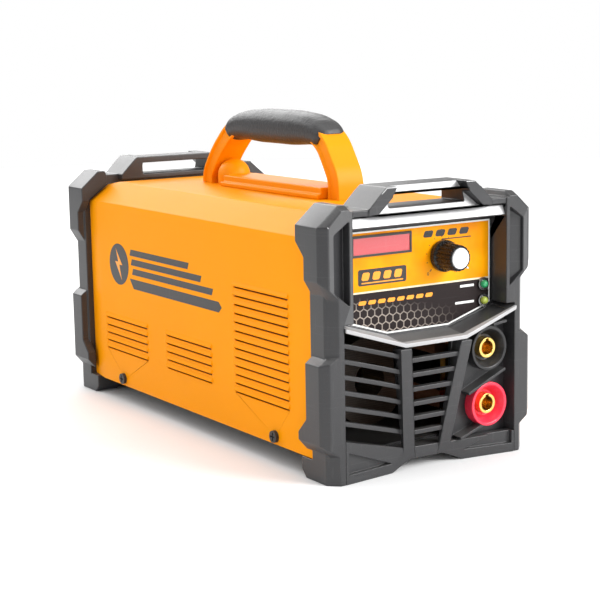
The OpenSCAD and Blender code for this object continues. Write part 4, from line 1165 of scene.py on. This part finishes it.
    def build_lamps(self) -> None:
        """Dresses the bezels and turns a domed lens into each."""
        dress(DARK_CHROME, "led_bezels")
        for node, finish in (("power_lamp", LAMP_GREEN), ("overheat_lamp", LAMP_YELLOW)):
            low, high = (Vector(corner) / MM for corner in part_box(node))
            radius = (high.x - low.x) / 2
            y0, y1 = low.y - RIM, high.y - RIM
            dome = [
                (y0 + radius * (1 - math.cos(a)) * 0.9, max(radius * math.sin(a), 0.15), 0.0)
                for a in (math.radians(step * 10) for step in range(0, 10))
            ]
            lens = add_piece(
                node + "_lens",
                revolve((low.x + high.x) / 2, (low.z + high.z) / 2, [*dome, (y1, radius, 0.0)], 48),
                "case", finish, 50.0,
            )
            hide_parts(node)


@dataclass
class OutputSockets:
    """The two output sockets: insulating shells round turned brass contacts."""

    socket_x: float = 48.5
    heights: dict[str, float] = field(default_factory=lambda: {"positive": 34.0, "negative": 71.0})

    def build(self) -> None:
        """Rounds the shells and the contacts, and dresses what is behind the wall."""
        shells = {"positive": RED_PLASTIC, "negative": BLACK_PLASTIC}
        for pole, z in self.heights.items():
            soften(f"{pole}_socket_shell", "case", shells[pole], 0.6, 3)
            brass = Turned(
                f"Turned brass {pole}", (0.88, 0.6, 0.17), 0.24, metallic=1.0, variation=0.15,
                depth=0.000012, wear=0.0, dust=0.0, centre_x=self.socket_x, centre_z=z,
            )
            soften(f"{pole}_contact", "case", brass, 0.5, 3)
        dress(BLACK_PLASTIC, "socket_locknuts")
        dress(DARK_CHROME, "contact_bolts")
        dress(COPPER, "negative_busbar", "positive_busbar")


@dataclass
class CoverSheet:
    """The folded cover with its pressed louvres, screws and a plain printed motif on each side."""

    side_x: float = 76.5
    flash_y: float = 283.0
    flash_z: float = 106.0
    motif_y: Point = (131.0, 268.0)
    motif_low_z: float = 90.0

    def build(self) -> None:
        """Rounds the sheet's folds and prints the sides."""
        soften("cover", "case", COVER_PAINT, 0.35, tidy=False)
        dress(BLACK_STEEL, "cover_screws")
        dress(BLACK_STEEL, "base_pan")
        for side in (-1, 1):
            self.print_side(side)

    def print_side(self, side: int) -> None:
        """Prints a flash in a round field, three slanted stripes and a long pointed bar.

        Args:
            side: -1 for the user's left side and 1 for the right.
        """
        lift = Vector((side * 0.12 * MM, 0, 0))

        def plate(points: Sequence[Point]) -> bmesh.types.BMesh:
            """Makes one print on this side from points (y, z)."""
            return flat_shape([at(side * (self.side_x - 0.01), y, z) for y, z in points], lift)

        disc = []
        disc_r, disc_points = 15.5, 40
        for step in range(disc_points):
            angle = 2 * math.pi * step / disc_points
            disc.append((self.flash_y + disc_r * math.cos(angle), self.flash_z + disc_r * math.sin(angle)))
        prints = [plate(disc)]
        front, rear = self.motif_y
        low = self.motif_low_z
        prints.append(plate([
            (front + 4, low), (front, low + 3.6), (front + 4, low + 7.2),
            (rear - 2, low + 7.2), (rear - 8, low),
        ]))
        for row, length in enumerate((118.0, 104.0, 88.0)):
            z = low + 10.5 + row * 7.0
            end = rear - 6 + row * 1.5
            prints.append(plate([
                (end - length, z), (end - length - 2.0, z + 4.6), (end - 2.0, z + 4.6), (end, z),
            ]))
        motif = add_piece(f"side_print_{side_name(side)}", merge(prints), "case", INK_DARK)
        flash = [
            (4.5, 11.5), (-5.5, -0.2), (-0.6, -0.2), (-4.0, -11.5), (6.0, 1.8), (0.9, 1.8),
        ]
        outline = [at(side * (self.side_x + 0.1), self.flash_y + y, self.flash_z + z) for y, z in flash]
        spark = add_piece(
            f"side_flash_{side_name(side)}",
            flat_shape(outline, Vector((side * 0.08 * MM, 0, 0))), "case", INK_ORANGE,
        )


@dataclass
class CarryHandle:
    """The carrying handle: a swept frame with beaded edges, a soft grip, and its stepped plinth."""

    leg_half_w: float = 10.5
    leg_half_t: float = 7.0
    groove: float = 1.5
    bead: float = 2.6
    grip_half_w: float = 14.0
    grip_half_t: float = 11.9
    path: tuple[Point, ...] = (
        (94.0, 163.9), (94.0, 178.0), (108.5, 200.5), (121.0, 208.0), (222.0, 208.0), (233.5, 202.0),
        (250.0, 187.6), (262.0, 172.0), (263.0, 163.9),
    )
    grip_path: tuple[Point, ...] = (
        (111.6, 202.2), (117.0, 207.0), (130.0, 209.2), (171.5, 209.5), (213.0, 209.3), (226.5, 207.0),
        (231.8, 202.6),
    )

    def leg_section(self, share: float) -> list[Point]:
        """Gives the frame's section: two beaded flanges with a groove between them on each side.

        Args:
            share: How far along the frame, 0..1.

        Returns:
            Points (x, outward) round the section.
        """
        taper = 1.0 - 0.16 * math.sin(math.pi * share) ** 0.5
        w, t, soft = self.leg_half_w, self.leg_half_t * taper, 1.1
        deep = w - self.groove
        quarter = [
            (w - soft, t), (w - soft * 0.3, t - soft * 0.3), (w, t - soft), (w, t - self.bead + 0.5),
            (w - 0.5, t - self.bead), (deep + 0.3, t - self.bead - 0.5), (deep, t - self.bead - 1.0),
        ]
        right = quarter + [(x, -n) for x, n in reversed(quarter)]
        return right + [(-x, n) for x, n in reversed(right)]

    def grip_section(self, share: float) -> list[Point]:
        """Gives the grip's section: a soft-cornered oblong, fullest in the middle.

        Args:
            share: How far along the grip, 0..1.

        Returns:
            Points (x, outward) round the section.
        """
        full = min(1.0, math.sin(math.pi * min(max(share, 0.0), 1.0)) * 1.12) ** 0.8
        lip = min(1.0, min(share, 1 - share) * 45 + 0.88)
        half_w = (11.4 + (self.grip_half_w - 11.4) * full) * lip
        half_t = (7.6 + (self.grip_half_t - 7.6) * full) * lip
        ring = []
        for step in range(48):
            angle = 2 * math.pi * step / 48
            c, s = math.cos(angle), math.sin(angle)
            ring.append((
                half_w * math.copysign(abs(c) ** 0.72, c), half_t * math.copysign(abs(s) ** 0.78, s),
            ))
        return ring

    def build(self) -> None:
        """Builds the frame, the grip and the plinth."""
        line = round_corners(self.path, 12.0, 8)
        legs = add_piece("handle_beaded_frame", sweep(line, self.leg_section), "case", HANDLE_PLASTIC, 40.0)
        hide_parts("handle_frame")
        base = round_corners(self.grip_path, 14.0, 8)
        fine = []
        for a, b in zip(base, base[1:]):
            count = max(1, round(math.dist(a, b) / 2.0))
            fine.extend(
                (a[0] + (b[0] - a[0]) * k / count, a[1] + (b[1] - a[1]) * k / count) for k in range(count)
            )
        fine.append(base[-1])
        grip = add_piece("handle_soft_grip", sweep(fine, self.grip_section), "case", GRIP_RUBBER, 50.0)
        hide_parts("handle_grip")
        soften("handle_plinth", "case", HANDLE_PLASTIC, 0.9, 3)
        dress(ZINC, "handle_screws")


@dataclass
class RearEnd:
    """The rear panel with its fan, guard, power switch, cable gland, earth screw and plate."""

    def build(self) -> None:
        """Dresses the rear's pieces and rounds those that are handled."""
        dress(BLACK_STEEL, "rear_panel")
        dress(BLACK_PLASTIC, "fan_housing", "fan_rotor", "gland_locknut")
        dress(CHROME, "fan_guard")
        dress(ZINC, "fan_screws")
        soften("switch_body", "case", BLACK_PLASTIC, 0.5)
        soften("switch_rocker", "rocker", BLACK_PLASTIC, 0.35)
        soften("gland_body", "case", BLACK_PLASTIC, 0.4)
        soften("gland_nut", "case", BLACK_PLASTIC, 0.5)
        dress(GRIP_RUBBER, "gland_seal")
        dress(BRASS_PLAIN, "earth_screw")
        dress(PLATE_METAL, "rating_plate")


@dataclass
class PowerElectronics:
    """The boards, heatsinks and wound parts inside the case."""

    liner_x: float = 69.0
    liner_y: Point = (34.0, 330.0)
    liner_z: Point = (27.0, 145.0)

    def build(self) -> None:
        """Dresses the parts inside."""
        dress(BOARD, "main_board")
        dress(BRASS_PLAIN, "board_standoffs")
        dress(BLACK_PLASTIC, "heatsink_rails", "transistors", "output_diodes", "bulk_capacitors")
        dress(BLACK_PLASTIC, "bridge_rectifier", "soft_start_relay")
        dress(ALUMINIUM, "transistor_heatsink", "diode_heatsink")
        dress(FERRITE, "transformer_core")
        dress(COIL_TAPE, "transformer_windings")
        dress(COIL_VARNISH, "output_choke")
        for side in (-1, 1):
            self.build_liner(side)

    def build_liner(self, side: int) -> None:
        """Hangs a near-black board between the live parts and the louvres of one side, an insulating board
        made dark as painted shade inside the case.

        Args:
            side: -1 for the user's left side and 1 for the right.
        """
        (front, back), (low, high) = self.liner_y, self.liner_z
        corners = ((front, low), (back, low), (back, high), (front, high))
        outline = [at(side * self.liner_x, y, z) for y, z in corners]
        # Painted shade: the near-black board darkens what is seen through the louvres.
        board = add_piece(
            f"shade_liner_board_{side_name(side)}",
            flat_shape(outline, Vector((side * 0.8 * MM, 0, 0))), "case", SHADE_LINER,
        )


@dataclass
class Studio:
    """The pale floor, the soft lights and the camera."""

    camera_place: tuple[float, float, float] = (-0.5894, -0.9395, 0.2734)
    azimuth: float = -32.85
    elevation: float = 9.69
    roll: float = -1.04
    lens: float = 93.48
    room: float = 0.35
    floor_reach: float = 2.3

    def build(self) -> None:
        """Sets up floor, world, lights and camera."""
        self.build_floor()
        self.build_world()
        self.add_softbox("overhead", (-0.1, -0.1, 1.7), (0, 0, 0.1), (2.0, 1.6), 16.0)
        self.add_softbox("behind", (0.1, 3.0, 1.9), (0, 0.6, 0.0), (4.4, 1.6), 120.0)
        self.add_softbox("left", (-2.1, 0.4, 0.9), (0, 0, 0.1), (1.8, 1.4), 10.0)
        self.add_softbox("front_right", (0.9, -1.5, 0.95), (0, -0.18, 0.13), (1.0, 1.0), 40.0)
        self.add_softbox("front_left", (-0.7, -2.4, 0.55), (0, -0.18, 0.1), (1.2, 0.8), 10.0)
        self.build_camera()

    def build_floor(self) -> None:
        """Lays a plain pale floor."""
        mesh = bmesh.new()
        bmesh.ops.create_circle(mesh, cap_ends=True, radius=self.floor_reach, segments=96)
        data = bpy.data.meshes.new("floor")
        mesh.to_mesh(data)
        mesh.free()
        floor = bpy.data.objects.new("floor", data)
        bpy.context.scene.collection.objects.link(floor)
        paper = Finish(
            "Floor paper", (0.93, 0.93, 0.93), 0.8, variation=0.01, wear=0.0, dust=0.0, scratch=0.0,
        )
        data.materials.append(paper.material())

    def build_world(self) -> None:
        """Lights the room evenly from all round, and shows it white behind the machine."""
        world = bpy.data.worlds.new("studio")
        bpy.context.scene.world = world
        world.use_nodes = True
        tree = world.node_tree
        tree.nodes.clear()
        room = tree.nodes.new("ShaderNodeBackground")
        room.inputs["Strength"].default_value = self.room
        seen = tree.nodes.new("ShaderNodeBackground")
        seen.inputs["Strength"].default_value = 1.0
        for light in (room, seen):
            light.inputs["Color"].default_value = (1.0, 1.0, 1.0, 1.0)
        choose = tree.nodes.new("ShaderNodeMixShader")
        tree.links.new(tree.nodes.new("ShaderNodeLightPath").outputs["Is Camera Ray"], choose.inputs[0])
        tree.links.new(room.outputs[0], choose.inputs[1])
        tree.links.new(seen.outputs[0], choose.inputs[2])
        tree.links.new(choose.outputs[0], tree.nodes.new("ShaderNodeOutputWorld").inputs["Surface"])
        bpy.context.scene.view_settings.view_transform = "Standard"

    def add_softbox(
        self, name: str, place: Sequence[float], target: Sequence[float], size: Point, power: float
    ) -> None:
        """Hangs a rectangular light.

        Args:
            name: The light's name.
            place: Where it hangs, in metres.
            target: What it points at.
            size: Its width and height.
            power: Its power in watts.
        """
        light = bpy.data.lights.new(name, "AREA")
        light.shape = "RECTANGLE"
        light.size, light.size_y = size
        light.energy = power
        lamp = bpy.data.objects.new(name, light)
        bpy.context.scene.collection.objects.link(lamp)
        lamp.location = place
        lamp.rotation_euler = (Vector(target) - Vector(place)).to_track_quat("-Z", "Y").to_euler()

    def build_camera(self) -> None:
        """Places the camera at its three-quarter view."""
        a, e, r = (math.radians(v) for v in (self.azimuth, self.elevation, self.roll))
        right = Vector((math.cos(a), math.sin(a), 0))
        back = Vector((math.sin(a) * math.cos(e), -math.cos(a) * math.cos(e), math.sin(e)))
        up = back.cross(right)
        right, up = right * math.cos(r) + up * math.sin(r), up * math.cos(r) - right * math.sin(r)
        data = bpy.data.cameras.new("camera")
        data.lens = self.lens
        data.sensor_width = 36.0
        data.clip_start = 0.01
        camera = bpy.data.objects.new("camera", data)
        bpy.context.scene.collection.objects.link(camera)
        turn = Matrix((right, up, back)).transposed().to_4x4()
        camera.matrix_world = Matrix.Translation(self.camera_place) @ turn
        bpy.context.scene.camera = camera


def main() -> None:
    """Builds the studio and every sub-assembly in order."""
    logging.basicConfig(level=logging.INFO, format="%(name)s %(message)s")
    for part in (
        Studio(), EndFrames(), FrontEnd(), ControlPanel(), OutputSockets(), CoverSheet(), CarryHandle(),
        RearEnd(), PowerElectronics(),
    ):
        LOG.info("building %s", type(part).__name__)
        part.build()
    bpy.context.view_layer.update()


if __name__ == "__main__":
    main()
